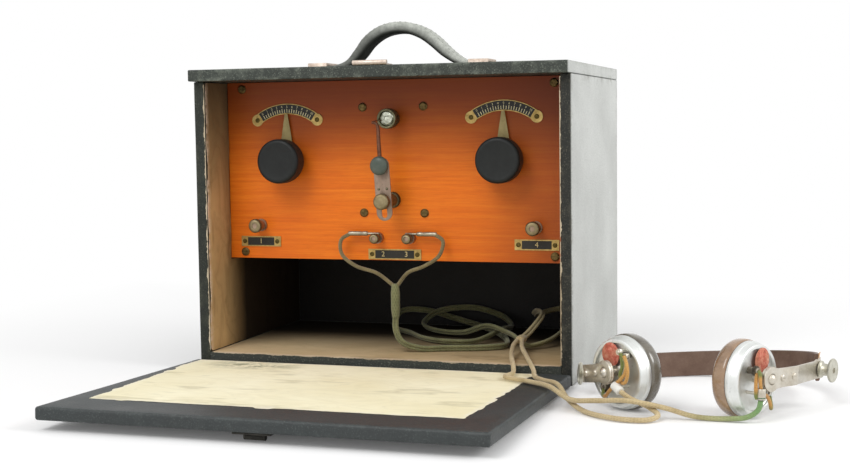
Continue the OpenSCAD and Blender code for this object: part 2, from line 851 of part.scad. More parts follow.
module shaft_bushes() {
    flange_d = bush_d + 4;
    color("#8d8a7a") for (s = [-1, 1])
        at_panel(s * dial_x, dial_z) difference() {
            union() {
                cylinder(d = flange_d, h = bush_flange_t);
                translate([0, 0, bush_flange_t - bush_len]) cylinder(d = bush_d, h = bush_len);
                translate([0, 0, -panel_t - 2.5]) cylinder(d = flange_d, h = 2.5);
            }
            translate([0, 0, -bush_len]) cylinder(d = shaft_d + 2 * run_fit, h = 2 * bush_len);
        }
}

module knob() {
    r = knob_d / 2;
    edge = 1.6;
    seat = shaft_head - knob_back + fit;
    color("#1d2022") translate([0, 0, knob_back]) difference() {
        rotate_extrude($fn = 96) polygon([
            [0, 0], [r - 4, 0], [r - 1, 5], [r, 8],
            [r, knob_out - knob_back - edge], [r - edge, knob_out - knob_back],
            [0, knob_out - knob_back]
        ]);
        translate([0, 0, -cut]) cylinder(d = shaft_d + 2 * fit, h = seat + cut);
    }
}

module pointer() {
    tip_w = 2.6;
    hub_d = shaft_d + 8;
    color("#a9a283") translate([0, 0, pointer_base]) difference() {
        union() {
            cylinder(d = hub_d, h = pointer_t);
            linear_extrude(pointer_t) polygon([
                [-pointer_w / 2, 3], [pointer_w / 2, 3],
                [tip_w / 2, pointer_len], [-tip_w / 2, pointer_len]
            ]);
        }
        translate([0, 0, -cut]) cylinder(d = shaft_d + 2 * fit, h = pointer_t + 2 * cut);
    }
}

// Shaft from inside the knob to the wiper, which lies over the winding's face
module tuning_shaft(s) {
    wiper_z = -(spacer_len + panel_t) + winding_t + wiper_gap;
    hub_d = shaft_d + 6;
    wiper_w = 7;
    color("#9c9684") {
        translate([0, 0, wiper_z]) cylinder(d = shaft_d, h = shaft_head - wiper_z);
        translate([0, 0, wiper_z]) cylinder(d = hub_d, h = wiper_t);
        translate([-s * wiper_len / 2 - wiper_len / 2, -wiper_w / 2, wiper_z])
            cube([wiper_len, wiper_w, wiper_t]);
    }
}

module left_knob() {
    at_panel(-dial_x, dial_z) knob();
}

module right_knob() {
    at_panel(dial_x, dial_z) knob();
}

module left_pointer() {
    at_panel(-dial_x, dial_z) pointer();
}

module right_pointer() {
    at_panel(dial_x, dial_z) pointer();
}

module left_shaft() {
    at_panel(-dial_x, dial_z) tuning_shaft(-1);
}

module right_shaft() {
    at_panel(dial_x, dial_z) tuning_shaft(1);
}

// Flat former on four spacers behind the panel, with the winding round it
module coil_former() {
    color("#8a6a44") difference() {
        union() {
            translate([-former_w / 2, former_front, former_z - former_h / 2])
                cube([former_w, former_t, former_h]);
            for (p = coil_screws)
                at_panel(p[0], p[1]) translate([0, 0, -coil_screw_len])
                    cylinder(d = spacer_d, h = spacer_len);
        }
        for (p = coil_screws)
            at_panel(p[0], p[1]) translate([0, 0, -coil_screw_len - former_t - cut])
                cylinder(d = screw_d + 2 * fit, h = coil_screw_len + former_t);
    }
}

module coil_winding() {
    out_w = former_w + 2 * winding_t;
    out_d = former_t + 2 * winding_t;
    color("#7a3d1e")
        translate([0, former_front + former_t / 2, former_z - winding_h / 2])
            difference() {
                translate([-out_w / 2, -out_d / 2, 0]) cube([out_w, out_d, winding_h]);
                translate([-former_w / 2 - fit, -former_t / 2 - fit, -cut])
                    cube([former_w + 2 * fit, former_t + 2 * fit, winding_h + 2 * cut]);
            }
}

// Cup for the crystal: a stepped round body with a deep seat

module crystal_cup() {
    r = crystal_cup_d / 2;
    color("#8e8b78") at_panel(0, cup_z) {
        difference() {
            rotate_extrude($fn = 64) polygon([
                [0, 0], [r - 2.2, 0], [r - 2.2, 6], [r - 0.6, 8],
                [r, 9], [r, crystal_cup_out - 0.8], [r - 0.8, crystal_cup_out],
                [0, crystal_cup_out]
            ]);
            translate([0, 0, crystal_cup_out - cup_seat])
                cylinder(d = crystal_cup_d - 2 * cup_lip, h = cup_seat + cut);
        }
        translate([0, 0, -panel_t - 4]) cylinder(d = post_stud_d, h = panel_t + 4);
    }
}

module crystal() {
    seat_d = crystal_cup_d - 2 * cup_lip - 2 * fit;
    color("#b9c0bb") at_panel(0, cup_z)
        translate([0, 0, crystal_cup_out - cup_seat]) difference() {
            cylinder(d = seat_d, h = cup_seat - 0.6);
            for (i = [0 : 4])
                rotate([0, 0, i * 72]) translate([seat_d * 0.2, -seat_d, cup_seat - 1.2])
                    rotate([0, 22, 0]) cube([seat_d, 2 * seat_d, seat_d]);
        }
}

module detector_post() {
    color("#8e8b78") at_panel(post_x, post_z) {
        cylinder(d = post_d, h = 3);
        translate([0, 0, 3]) cylinder(d = post_d - 3, h = post_out - 5);
        translate([0, 0, post_out - 2]) cylinder(d = post_d - 1, h = 2);
        translate([0, 0, -panel_t - 4])
            cylinder(d = post_stud_d, h = panel_t + 4 + post_out + strip_t + thumb_h - 1);
    }
}

// Places a child on the strip: origin at the post, Y up along the strip
module at_strip() {
    at_panel(post_x, post_z) rotate([0, 0, strip_tilt])
        translate([0, 0, post_out + strip_play]) children();
}

module detector_strip() {
    r = strip_w / 2;
    slot_drop = strip_down - 2.6;
    color("#9a8f7c") at_strip() difference() {
        linear_extrude(strip_t) difference() {
            union() {
                translate([-r, -strip_down]) square([strip_w, strip_up + strip_down]);
                for (y = [-strip_down, strip_up])
                    translate([0, y]) circle(r = r, $fn = 48);
            }
            translate([-strip_slot_w / 2, -slot_drop - strip_slot_w])
                square([strip_slot_w, slot_drop + strip_slot_w]);
            translate([0, -slot_drop - strip_slot_w])
                circle(d = strip_slot_w, $fn = 32);
        }
        translate([0, 0, -cut]) cylinder(d = strip_slot_w, h = strip_t + 2 * cut);
        translate([0, strip_up, -cut]) cylinder(d = rod_hole_d + 2 * run_fit,
                                                h = strip_t + 2 * cut);
    }
}

module detector_nut() {
    color("#9b8d79") at_strip() translate([0, 0, strip_t + strip_play])
        grip_nut(thumb_d, thumb_h, post_stud_d + 2 * run_fit);
}

// Domed knob on a spindle through the strip, with the rod and its fine tip

module whisker() {
    r = whisker_knob_d / 2;
    hub = strip_t + strip_play;
    rod_z = hub + 1.6;
    tip_z = tip_reach + 0.35 - post_out - strip_play;
    tip_x = -2.2;
    color("#5c4436") at_strip() translate([0, strip_up, 0]) {
        translate([0, 0, -2]) cylinder(d = rod_hole_d, h = 3 + hub);
        translate([0, 0, -3]) cylinder(d = rod_hole_d + 2.4, h = 3 - strip_play);
        translate([0, 0, hub]) rotate_extrude($fn = 48) polygon([
            [0, 0], [4.2, 0], [4.2, 3], [r, 3.6], [r, 5.6],
            [r * 0.9, 6.9], [r * 0.62, 7.9], [r * 0.3, whisker_knob_h],
            [0, whisker_knob_h]
        ]);
        rod([0, 0, rod_z], [0, whisker_len, rod_z], whisker_rod_d);
        translate([0, whisker_len, rod_z]) sphere(d = whisker_rod_d, $fn = 24);
        rod([0, whisker_len, rod_z], [tip_x, whisker_len + 2.5, rod_z - 1], 1.1);
        translate([tip_x, whisker_len + 2.5, rod_z - 1]) sphere(d = 1.1, $fn = 16);
        rod([tip_x, whisker_len + 2.5, rod_z - 1], [tip_x + 4, whisker_len + 3.6, tip_z], 0.9);
    }
}

// Binding posts

module binding_posts() {
    side_total = side_body_h + side_nut_h;
    phone_total = phone_collar_h + pin_d + phone_nut_h;
    color("#96897a") {
        for (s = [-1, 1])
            at_panel(s * side_post_x, side_post_z) {
                difference() {
                    union() {
                        cylinder(d = side_body_d + 2, h = 2);
                        translate([0, 0, 2])
                            cylinder(d = side_body_d, h = side_body_h - 2);
                    }
                    translate([0, 0, side_body_h / 2 + 1]) rotate([90, 0, 0])
                        cylinder(d = wire_hole_d, h = 4 * side_body_d, center = true);
                }
                translate([0, 0, -panel_t - 4]) cylinder(d = stud_d, h = panel_t + 4);
                translate([0, 0, side_body_h]) cylinder(d = stud_d, h = side_nut_h - 0.6);
            }
        for (s = [-1, 1])
            at_panel(s * phone_post_x, phone_post_z) {
                cylinder(d = phone_collar_d, h = phone_collar_h);
                translate([0, 0, -panel_t - 4])
                    cylinder(d = stud_d, h = panel_t + 4 + phone_total - 0.6);
            }
    }
}

module side_nut(s) {
    color("#a2947f") at_panel(s * side_post_x, side_post_z)
        translate([0, 0, side_body_h + strip_play])
            grip_nut(side_nut_d, side_nut_h, stud_d + 2 * run_fit, 14);
}

module phone_nut(s) {
    color("#a2947f") at_panel(s * phone_post_x, phone_post_z)
        translate([0, 0, phone_collar_h + pin_d + 4 * fit])
            grip_nut(phone_nut_d, phone_nut_h, stud_d + 2 * run_fit, 10);
}

module ground_nut() {
    side_nut(-1);
}

module aerial_nut() {
    side_nut(1);
}

module left_phone_nut() {
    phone_nut(-1);
}

module right_phone_nut() {
    phone_nut(1);
}

// A mica condenser on the shelf, and the bare wires that rise from it
module wiring() {
    block = [34, 14, 12];
    wire_d = 1.2;
    shelf_top = panel_low + shelf_t;
    block_y = former_front + 12;
    rise = former_z - former_h / 2 - shelf_top;
    color("#6b4a2c") {
        translate([-block[0] / 2, block_y, shelf_top]) cube(block);
        for (s = [-1, 1])
            translate([s * (block[0] / 2 + 2) - 2, block_y + 3, shelf_top])
                cube([4, block[1] - 6, block[2] - 3]);
    }
    color("#b06a35") for (s = [-1, 1]) {
        start = [s * (block[0] / 2 + 2), block_y + 5, shelf_top + block[2] - 3.5];
        knee = [start[0], start[1], shelf_top + rise + 8];
        rod(start, knee, wire_d);
        translate(knee) sphere(d = wire_d, $fn = 16);
        rod(knee, [start[0], former_front + former_t + wire_gap, knee[2]], wire_d);
    }
}

// Headset

// Places a child at an earpiece's ball: X along the listening direction
module at_ear(ear) {
    translate(ear[0]) rotate([0, 0, ear[1]]) children();
}

// Places a round part on the cup's centre line: Z along the listening direction
module on_cup(ear) {
    at_ear(ear) translate([0, 0, -headset_drop]) rotate([0, 90, 0]) children();
}

// Places a child on the arm's inner part: X along it, Y through its thickness,
// away from the ear
module at_arm(ear) {
    translate(ear[0]) rotate([0, ear[4], ear[2]])
        mirror([0, ear[6] > 0 ? 0 : 1, 0]) children();
}

// Places a child on the arm's stud, with Z along the stud, away from the ear
module at_stud(ear) {
    run = arm_in * cos(ear[4]);
    run_out = ear[5] * cos(ear[4]);
    drop = (arm_in + ear[5]) * sin(ear[4]);
    translate(ear[0] + [run * cos(ear[2]) + run_out * cos(ear[3]),
                        run * sin(ear[2]) + run_out * sin(ear[3]), -drop])
        rotate([0, 0, ear[3]]) rotate([ear[6] > 0 ? -90 : 90, 0, 0]) children();
}

module ear_cup(ear) {
    w = cup_wall;
    color("#c9cac8") on_cup(ear) rotate_extrude($fn = 96) polygon([
        [0, cup_out + recess], [cup_back_r - 3, cup_out + recess],
        [cup_back_r - 3, cup_out], [cup_back_r, cup_out], [rim_r, rim_at],
        [rim_r - w, rim_at], [cup_back_r - 1, cup_out + recess + w],
        [0, cup_out + recess + w]
    ]);
}

module ear_cap(ear) {
    top = cap_at + cap_h;
    w = 2;
    color("#6a5546") on_cup(ear) rotate_extrude($fn = 96) polygon([
        [cap_r - 4, cap_at], [cap_r - 0.4, cap_at], [cap_r, cap_at + 2],
        [cap_r - 0.4, top - 4], [cap_r - 2, top - 1.4], [cap_r - 5, top],
        [sound_r + 2, top - 3.6], [sound_r, top - 4.4], [sound_r, top - 4.4 - w],
        [cap_r - 6, top - 2 - w], [cap_r - 4, cap_at + 6]
    ]);
}

// Magnet, two bobbins and the iron disc, all inside the cup
module ear_motor(ear) {
    floor_at = cup_out + recess + cup_wall;
    magnet_t = 2.6;
    color("#3c3c3e") on_cup(ear) {
        translate([0, 0, floor_at]) cylinder(r = cup_back_r - 6, h = magnet_t);
        for (s = [-1, 1])
            translate([-6, s * 6 - 2.5, floor_at + magnet_t])
                cube([12, 5, cup_h - recess - cup_wall - magnet_t - 0.5]);
        translate([0, 0, rim_at]) cylinder(r = rim_r - 0.4, h = disc_t, $fn = 96);
    }
}

// Ball stud, terminals and the cord's ferrule on the cup's back
module ear_fittings(ear, terminals, ferrule, lean) {
    plate_x = cup_out + recess;
    color("#8f9190") at_ear(ear) {
        sphere(r = ball_r, $fn = 48);
        rotate([0, 90, 0]) cylinder(r = 1.5, h = plate_x);
        translate([cup_out - 1, 0, 0]) rotate([0, 90, 0]) cylinder(r = 4, h = recess + 1);
        for (t = terminals)
            translate([plate_x - t[2], t[0], t[1]]) rotate([0, 90, 0]) {
                cylinder(r = 1.4, h = t[2]);
                cylinder(r = 2.3, h = t[2] - 2.5);
            }
        translate(ferrule) {
            rotate(lean) cylinder(d = ferrule_d, h = ferrule_len);
            rotate(lean) translate([0, 0, ferrule_len / 2]) sphere(d = ferrule_d, $fn = 24);
        }
        lug = ferrule + ferrule_len / 2 * [sin(lean[1]) * cos(lean[2]),
                                           sin(lean[1]) * sin(lean[2]), cos(lean[1])];
        rod(lug, [plate_x, lug[1], lug[2]], 2.4);
    }
}

// Dog-bone outline of the arm's inner part and clamp plate
module dog_bone(len, w) {
    hull_r = w / 2;
    waist = arm_end_r * 0.6;
    difference() {
        union() {
            circle(r = arm_end_r, $fn = 48);
            translate([0, -hull_r]) square([len, w]);
            polygon([
                [waist, arm_end_r * 0.8], [arm_end_r * 1.4, hull_r],
                [arm_end_r * 1.4, -hull_r], [waist, -arm_end_r * 0.8]
            ]);
        }
        circle(r = ball_r + 0.1, $fn = 48);
        for (i = [0, 1])
            translate([clamp_first + i * clamp_pitch, 0]) circle(d = clamp_hole_d, $fn = 24);
    }
}

// Upright plate on the arm's frame, from y0 out to y0 + arm_t
module arm_plate(y0) {
    translate([0, y0 + arm_t, 0]) rotate([90, 0, 0]) linear_extrude(arm_t) children();
}

module ear_arm(ear) {
    bend = ear[3] - ear[2];
    turn = ear[6] > 0 ? bend : -bend;
    clamp_len = clamp_first + clamp_pitch + 4;
    color("#c3beb2") {
        at_arm(ear) {
            arm_plate(-arm_half) dog_bone(arm_in, arm_h);
            arm_plate(plate_gap) dog_bone(clamp_len, arm_h);
            for (i = [0, 1])
                translate([clamp_first + i * clamp_pitch, arm_half, 0]) rotate([-90, 0, 0])
                    slotted_screw(5, 1.4, clamp_hole_d - 2 * fit, 2 * arm_half);
        }
        at_tail(ear) arm_tail(ear[5]);
        at_tail(ear) arm_corner(ear, turn);
    }
}

// Places a child on the arm's outer part: origin at the stud, X away from the bend
module at_tail(ear) {
    at_stud(ear) rotate([0, 0, ear[6] * ear[4]]) children();
}

// The arm past its bend, seen from its stud: a strip that ends round at the stud
module arm_tail(len) {
    translate([0, 0, -arm_half]) linear_extrude(arm_t) difference() {
        union() {
            circle(r = arm_h / 2, $fn = 48);
            translate([-len, -arm_h / 2]) square([len, arm_h]);
        }
        circle(d = arm_stud_d + 2 * run_fit, $fn = 32);
    }
}

// Fills the corner between the arm's two flat parts
module arm_corner(ear, turn) {
    translate([-ear[5], 0, -arm_half + arm_t / 2]) rotate([90, 0, 0])
        cylinder(r = arm_t / 2 * (1 + abs(turn) / 90), h = arm_h, center = true);
}

module left_arm() {
    ear_arm(left_ear);
}

module right_arm() {
    ear_arm(right_ear);
}

module arm_nut(ear) {
    flange_h = 1.8;
    color("#b9b6ac") at_stud(ear) translate([0, 0, 2 * fit]) difference() {
        union() {
            cylinder(d = arm_nut_d - 5, h = 1);
            cylinder(d = arm_nut_d - 8.5, h = arm_nut_h);
            translate([0, 0, arm_nut_h - flange_h]) cylinder(d = arm_nut_d, h = flange_h);
        }
        translate([0, 0, -cut])
            cylinder(d = arm_stud_d + 2 * run_fit, h = arm_nut_h + 2 * cut);
    }
}

module left_arm_nut() {
    arm_nut(left_ear);
}

module right_arm_nut() {
    arm_nut(right_ear);
}

module left_cup() {
    ear_cup(left_ear);
}

module right_cup() {
    ear_cup(right_ear);
}

module left_cap() {
    ear_cap(left_ear);
}

module right_cap() {
    ear_cap(right_ear);
}

module left_motor() {
    ear_motor(left_ear);
}

module right_motor() {
    ear_motor(right_ear);
}

module left_fittings() {
    ear_fittings(left_ear, [[-7.3, 15, 7], [-12.5, 12.5, 6], [10, -13, 5]],
                 [1.2, -13.5, -12], [0, 60, 90]);
}

module right_fittings() {
    ear_fittings(right_ear, [[8, 6, 8], [-10, -12, 5]],
                 [0.9, 10.2, -13], [0, 0, 0]);
}

// Places a child in the headband's own frame
module at_band() {
    translate(band_centre) rotate(band_tilt) children();
}

module headband() {
    color("#5d4236") at_band() {
        difference() {
            cylinder(r = band_r + band_t / 2, h = band_h, center = true, $fn = 120);
            cylinder(r = band_r - band_t / 2, h = band_h + 2 * cut, center = true, $fn = 120);
            translate([-2 * band_r, -4 * band_r, -band_h]) cube([4 * band_r, 4 * band_r, 2 * band_h]);
        }
        for (s = [-1, 1])
            translate([s * band_r - band_t / 2, -band_leg, -band_h / 2])
                cube([band_t, band_leg, band_h]);
    }
}

// Metal ends of the headband: a plate riveted to the leather, a bent link
// and the threaded stud that carries the arm
module band_clip(ear, s) {
    clip_t = 1.2;
    clip_h = band_h * 0.7;
    clip_l = 12;
    clip_end = 1.4;
    disc_r = 7;
    outer = band_r + band_t / 2;
    stud_low = -arm_half - 3 * plate_gap - clip_t;
    at_band() translate([s > 0 ? outer : -outer - clip_t, -band_leg - clip_end, -clip_h / 2])
        cube([clip_t, clip_l + clip_end, clip_h]);
    at_band() for (y = [3, 9])
        translate([s * outer, y - band_leg, 0]) rotate([0, s * 90, 0])
            cylinder(d = 4, h = clip_t + 0.8);
    at_stud(ear) translate([0, 0, stud_low]) {
        cylinder(r = disc_r, h = clip_t);
        cylinder(d = arm_stud_d, h = arm_nut_h - 0.8 - stud_low);
    }
    hull() {
        at_band() translate([s > 0 ? outer : -outer - clip_t, -band_leg - clip_end,
                             -clip_h / 2])
            cube([clip_t, clip_end - 0.2, clip_h]);
        at_stud(ear) translate([2, -disc_r * 0.7, stud_low])
            cube([1.5, disc_r * 1.4, clip_t]);
    }
}

module band_clips() {
    color("#b9b6ac") {
        band_clip(left_ear, -1);
        band_clip(right_ear, 1);
    }
}

// Cord

module phone_tip(s) {
    pin_len = ferrule_end_x - phone_post_x + 3;
    pin_out = phone_collar_h + pin_d / 2 + 2 * fit;
    at_panel(0, phone_post_z + pin_rise) translate([0, 0, pin_out]) {
        translate([s * ferrule_end_x, 0, 0]) rotate([0, s * 90, 0])
            cylinder(d = tip_d, h = tip_end_x - ferrule_end_x);
        translate([s * ferrule_end_x, 0, 0]) rotate([0, -s * 90, 0])
            cylinder(d = pin_d, h = pin_len);
    }
}

module cord_fittings() {
    color("#a9a596") for (s = [-1, 1]) phone_tip(s);
    color("#6e6f52") {
        translate(sleeve_top - [0, 0, sleeve_len]) cylinder(d = sleeve_d, h = sleeve_len);
        translate(yoke_start) rotate([90, 0, 0]) cylinder(d = yoke_d, h = yoke_len);
    }
}

module left_tip_lead() {
    color("#7d7c5c") tube(left_tip_route, lead_d);
}

module right_tip_lead() {
    color("#7d7c5c") tube(right_tip_route, lead_d);
}

module main_cord() {
    color("#7d7c5c") tube(main_route, cord_d);
}

module left_branch() {
    color("#b5a078") tube(left_route, branch_d);
}

module right_branch() {
    color("#b5a078") tube(right_route, branch_d);
}

case_bottom();
case_left_side();
case_right_side();
case_back();
case_top();
panel_frame();
front_panel();
panel_screws();
strike_plate();
handle_strap();
handle_keepers();
case_hinges();
panel_plates();
panel_pins();
shaft_bushes();
coil_former();
coil_winding();
crystal_cup();
crystal();
detector_post();
binding_posts();
wiring();
left_knob();
left_pointer();
left_shaft();
right_knob();
right_pointer();
right_shaft();
detector_strip();
detector_nut();
whisker();
ground_nut();
aerial_nut();
left_phone_nut();
right_phone_nut();
door_board();
door_paper();
door_hinge_leaves();
catch_plate();
catch_hook();
headband();
band_clips();
left_arm();
right_arm();
left_arm_nut();
right_arm_nut();
left_cup();
right_cup();
left_cap();
right_cap();
left_motor();
right_motor();
left_fittings();
right_fittings();
left_tip_lead();
right_tip_lead();
cord_fittings();
main_cord();
left_branch();
right_branch();
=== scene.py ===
"""Looks of a portable crystal receiver: covered wooden case, wood panel, headset and cord."""

import math

import bmesh
import bpy
import numpy as np
from mathutils import Matrix, Vector, noise


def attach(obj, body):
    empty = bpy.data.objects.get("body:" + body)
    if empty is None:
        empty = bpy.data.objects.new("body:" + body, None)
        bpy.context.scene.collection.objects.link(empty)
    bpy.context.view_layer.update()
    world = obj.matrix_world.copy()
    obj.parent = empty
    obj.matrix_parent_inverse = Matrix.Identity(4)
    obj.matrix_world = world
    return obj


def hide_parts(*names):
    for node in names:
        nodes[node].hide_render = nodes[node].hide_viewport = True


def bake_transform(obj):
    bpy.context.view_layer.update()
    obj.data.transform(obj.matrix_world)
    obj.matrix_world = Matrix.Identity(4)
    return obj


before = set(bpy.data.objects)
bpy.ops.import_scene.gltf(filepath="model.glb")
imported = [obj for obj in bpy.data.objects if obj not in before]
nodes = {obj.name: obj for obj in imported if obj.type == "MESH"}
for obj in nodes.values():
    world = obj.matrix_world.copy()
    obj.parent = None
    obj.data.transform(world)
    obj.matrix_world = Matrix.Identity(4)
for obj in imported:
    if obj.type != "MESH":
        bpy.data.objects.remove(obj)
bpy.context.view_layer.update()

MM = 0.001


# Camera

PHOTO_WIDTH = 850
SENSOR_WIDTH = 36.0
FOCAL_PIXELS = 1373.8
CAMERA_PLACE = Vector((0.387, -1.1738, 0.2097))
CAMERA_YAW, CAMERA_PITCH, CAMERA_ROLL = (math.radians(a) for a in (17.86, -4.58, -0.76))


def make_camera():
    """Camera at the photograph's angle."""
    data = bpy.data.cameras.new("camera")
    data.sensor_width = SENSOR_WIDTH
    data.lens = SENSOR_WIDTH * FOCAL_PIXELS / PHOTO_WIDTH
    data.clip_start = 0.05
    data.clip_end = 40
    camera = bpy.data.objects.new("camera", data)
    bpy.context.scene.collection.objects.link(camera)
    look = Vector((-math.sin(CAMERA_YAW) * math.cos(CAMERA_PITCH),
                   math.cos(CAMERA_YAW) * math.cos(CAMERA_PITCH), math.sin(CAMERA_PITCH)))
    level = Vector((math.cos(CAMERA_YAW), math.sin(CAMERA_YAW), 0))
    upright = level.cross(look)
    right = math.cos(CAMERA_ROLL) * level + math.sin(CAMERA_ROLL) * upright
    up = -math.sin(CAMERA_ROLL) * level + math.cos(CAMERA_ROLL) * upright
    turn = Matrix((right, up, -look)).transposed().to_4x4()
    camera.matrix_world = Matrix.Translation(CAMERA_PLACE) @ turn
    bpy.context.scene.camera = camera


make_camera()


# Shapes shared by the pieces

SHARP_EDGE = 38
SPLINE_STEPS = 24
WEAR_REACH = 5
BOARD_STEP, LEAST_STEPS, MOST_STEPS = 7.0, 6, 56
TWIN_POINTS, ARC_STEPS = 20, 40


def hand(side):
    return "left" if side < 0 else "right"


def link_mesh(name, bm, finish, body, replaced=(), smooth=True):
    """Turns a bmesh into a finished piece that rides on a body, if one is given."""
    bmesh.ops.recalc_face_normals(bm, faces=bm.faces)
    mesh = bpy.data.meshes.new(name)
    bm.to_mesh(mesh)
    bm.free()
    mesh.polygons.foreach_set("use_smooth", [smooth] * len(mesh.polygons))
    if smooth:
        mesh.set_sharp_from_angle(angle=math.radians(SHARP_EDGE))
    mesh.materials.append(finish)
    piece = bpy.data.objects.new(name, mesh)
    bpy.context.scene.collection.objects.link(piece)
    if body:
        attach(piece, body)
    if replaced:
        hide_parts(*replaced)
    return piece


def smooth_line(points, step):
    """Evenly spaced points, in metres, on a centripetal Catmull-Rom curve through some in mm."""
    p = np.array(points, float) * MM
    p = np.vstack([2 * p[0] - p[1], p, 2 * p[-1] - p[-2]])
    dense = []
    for corners in zip(p, p[1:], p[2:], p[3:]):
        a, b, c, d = corners
        gaps = [math.sqrt(np.linalg.norm(v - u)) for u, v in zip(corners, corners[1:])]
        knots = np.cumsum([0] + gaps)
        for t in np.linspace(knots[1], knots[2], SPLINE_STEPS, endpoint=False):
            def between(u, v, i, j):
                return ((knots[j] - t) * u + (t - knots[i]) * v) / (knots[j] - knots[i])
            ab, bc, cd = between(a, b, 0, 1), between(b, c, 1, 2), between(c, d, 2, 3)
            dense.append(between(between(ab, bc, 0, 2), between(bc, cd, 1, 3), 1, 2))
    dense = np.array(dense + [p[-2]])
    run = np.concatenate([[0], np.cumsum(np.linalg.norm(np.diff(dense, axis=0), axis=1))])
    even = np.linspace(0, run[-1], max(3, int(run[-1] / step) + 1))
    return np.column_stack([np.interp(even, run, dense[:, k]) for k in range(3)])


def line_length(line):
    return float(np.linalg.norm(np.diff(line, axis=0), axis=1).sum())


def flat_grid(columns, rows):
    """A flat sheet from -1 to 1 both ways."""
    bm = bmesh.new()
    bmesh.ops.create_grid(bm, x_segments=columns, y_segments=rows, size=1)
    return bm


def carried_sides(line, side):
    """Directions square to a line, turned as little as possible along it."""
    ways = np.gradient(line, axis=0)
    ways /= np.linalg.norm(ways, axis=1)[:, None]
    sides = [np.array(side, float)]
    for way in ways:
        s = sides[-1] - way * (sides[-1] @ way)
        sides.append(s / np.linalg.norm(s))
    sides = np.array(sides[1:])
    return sides, np.cross(ways, sides)


def sweep(line, sections, side):
    """A closed tube along a line: one section of (across, up) points for each ring."""
    rings, around = len(line), len(sections[0])
    across, up = carried_sides(line, side)
    bm = bmesh.new()
    bm.loops.layers.uv.new("UVMap")
    bmesh.ops.create_grid(bm, x_segments=rings - 1, y_segments=around, size=1, calc_uvs=True)
    for v in bm.verts:
        i = round((v.co.x + 1) / 2 * (rings - 1))
        a, b = sections[i][round((v.co.y + 1) / 2 * around) % around]
        v.co = Vector(line[i] + a * across[i] + b * up[i])
    uv = bm.loops.layers.uv.active
    run = line_length(line)
    for face in bm.faces:
        for loop in face.loops:
            loop[uv].uv.x *= run / MM
    bmesh.ops.remove_doubles(bm, verts=bm.verts, dist=1e-6)
    bmesh.ops.holes_fill(bm, edges=[e for e in bm.edges if e.is_boundary], sides=0)
    return bm


def round_section(radius, around=12):
    return [(radius * math.cos(2 * math.pi * k / around), radius * math.sin(2 * math.pi * k / around))
            for k in range(around)]


def twin_section(width):
    """Two round strands side by side, joined by a low waist."""
    lobe = 0.268 * width
    off = width / 2 - lobe
    out = []
    for k in range(TWIN_POINTS):
        a = 2 * math.pi * k / TWIN_POINTS
        r = abs(off * math.cos(a)) + math.sqrt(lobe ** 2 - (off * math.sin(a)) ** 2)
        out.append((r * math.cos(a), r * math.sin(a)))
    return out


def flat_section(width, thick, radius, corner=4):
    """A rectangle with round corners."""
    out = []
    for k, (sx, sy) in enumerate(((1, 1), (-1, 1), (-1, -1), (1, -1))):
        for c in range(corner + 1):
            a = math.radians(90 * k + 90 * c / corner)
            out.append((sx * (width / 2 - radius) + radius * math.cos(a),
                        sy * (thick / 2 - radius) + radius * math.sin(a)))
    return out


def covered_board(low, high, radius, wobble=0.0, place=Matrix()):
    """A rectangular board with round edges; the attribute "edge" marks where it wears.
    Corners and sizes are in mm, in the frame that place stands for."""
    low, high = Vector(low), Vector(high)
    size = high - low
    bm = bmesh.new()
    bmesh.ops.create_cube(bm, size=1)
    counts = []
    for axis in range(3):
        count = min(MOST_STEPS, int(size[axis] / BOARD_STEP) + LEAST_STEPS)
        along = [e for e in bm.edges
                 if abs(e.verts[0].co[axis] - e.verts[1].co[axis]) > 0.5]
        bmesh.ops.subdivide_edges(bm, edges=along, cuts=count - 1, use_grid_fill=True)
        counts.append(count)
    edge = bm.verts.layers.float.new("edge")
    for v in bm.verts:
        p = Vector()
        for axis in range(3):
            step = round((v.co[axis] + 0.5) * counts[axis])
            ends = min(step, counts[axis] - step)
            inner = (size[axis] - 2 * radius) / (counts[axis] - 4)
            from_end = ends * radius / 2 if ends <= 2 else radius + (ends - 2) * inner
            p[axis] = low[axis] + from_end if step == ends else high[axis] - from_end
        core = Vector([min(max(p[i], low[i] + radius), high[i] - radius) for i in range(3)])
        out = p - core
        room = sorted(min(p[i] - low[i], high[i] - p[i]) for i in range(3))
        v[edge] = max(0.0, 1 - room[1] / WEAR_REACH)
        if out.length > 0:
            p = core + out.normalized() * radius
            p -= out.normalized() * wobble * (0.5 + 0.5 * noise.noise(p * 0.021))
        v.co = place @ (p * MM)
    return bm


def turned(outline, around, grip_from=math.inf):
    """A round piece about Z from (radius, height) points in mm. The UV runs round it in turns
    and up it in mm; the attribute "grip" marks what lies outside a radius."""
    bm = bmesh.new()
    ring = [bm.verts.new((r * MM, 0, z * MM)) for r, z in outline]
    edges = [bm.edges.new(pair) for pair in zip(ring, ring[1:])]
    bmesh.ops.spin(bm, geom=ring + edges, cent=(0, 0, 0), axis=(0, 0, 1),
                   angle=2 * math.pi, steps=around, use_merge=True)
    bmesh.ops.remove_doubles(bm, verts=bm.verts, dist=1e-7)
    grip = bm.verts.layers.float.new("grip")
    for v in bm.verts:
        v[grip] = 1.0 if math.hypot(v.co.x, v.co.y) > grip_from * MM else 0.0
    uv = bm.loops.layers.uv.new("UVMap")
    for face in bm.faces:
        middle = face.calc_center_median()
        base = math.atan2(middle.y, middle.x)
        for loop in face.loops:
            a = math.atan2(loop.vert.co.y, loop.vert.co.x)
            a += 2 * math.pi * round((base - a) / (2 * math.pi))
            loop[uv].uv = (a / (2 * math.pi), loop.vert.co.z / MM)
    return bm


def placed(bm, place):
    """Moves a piece made in mm-sized local space to its place, a matrix in mm."""
    move = place.copy()
    move.translation *= MM
    bmesh.ops.transform(bm, matrix=move, verts=bm.verts)
    return bm


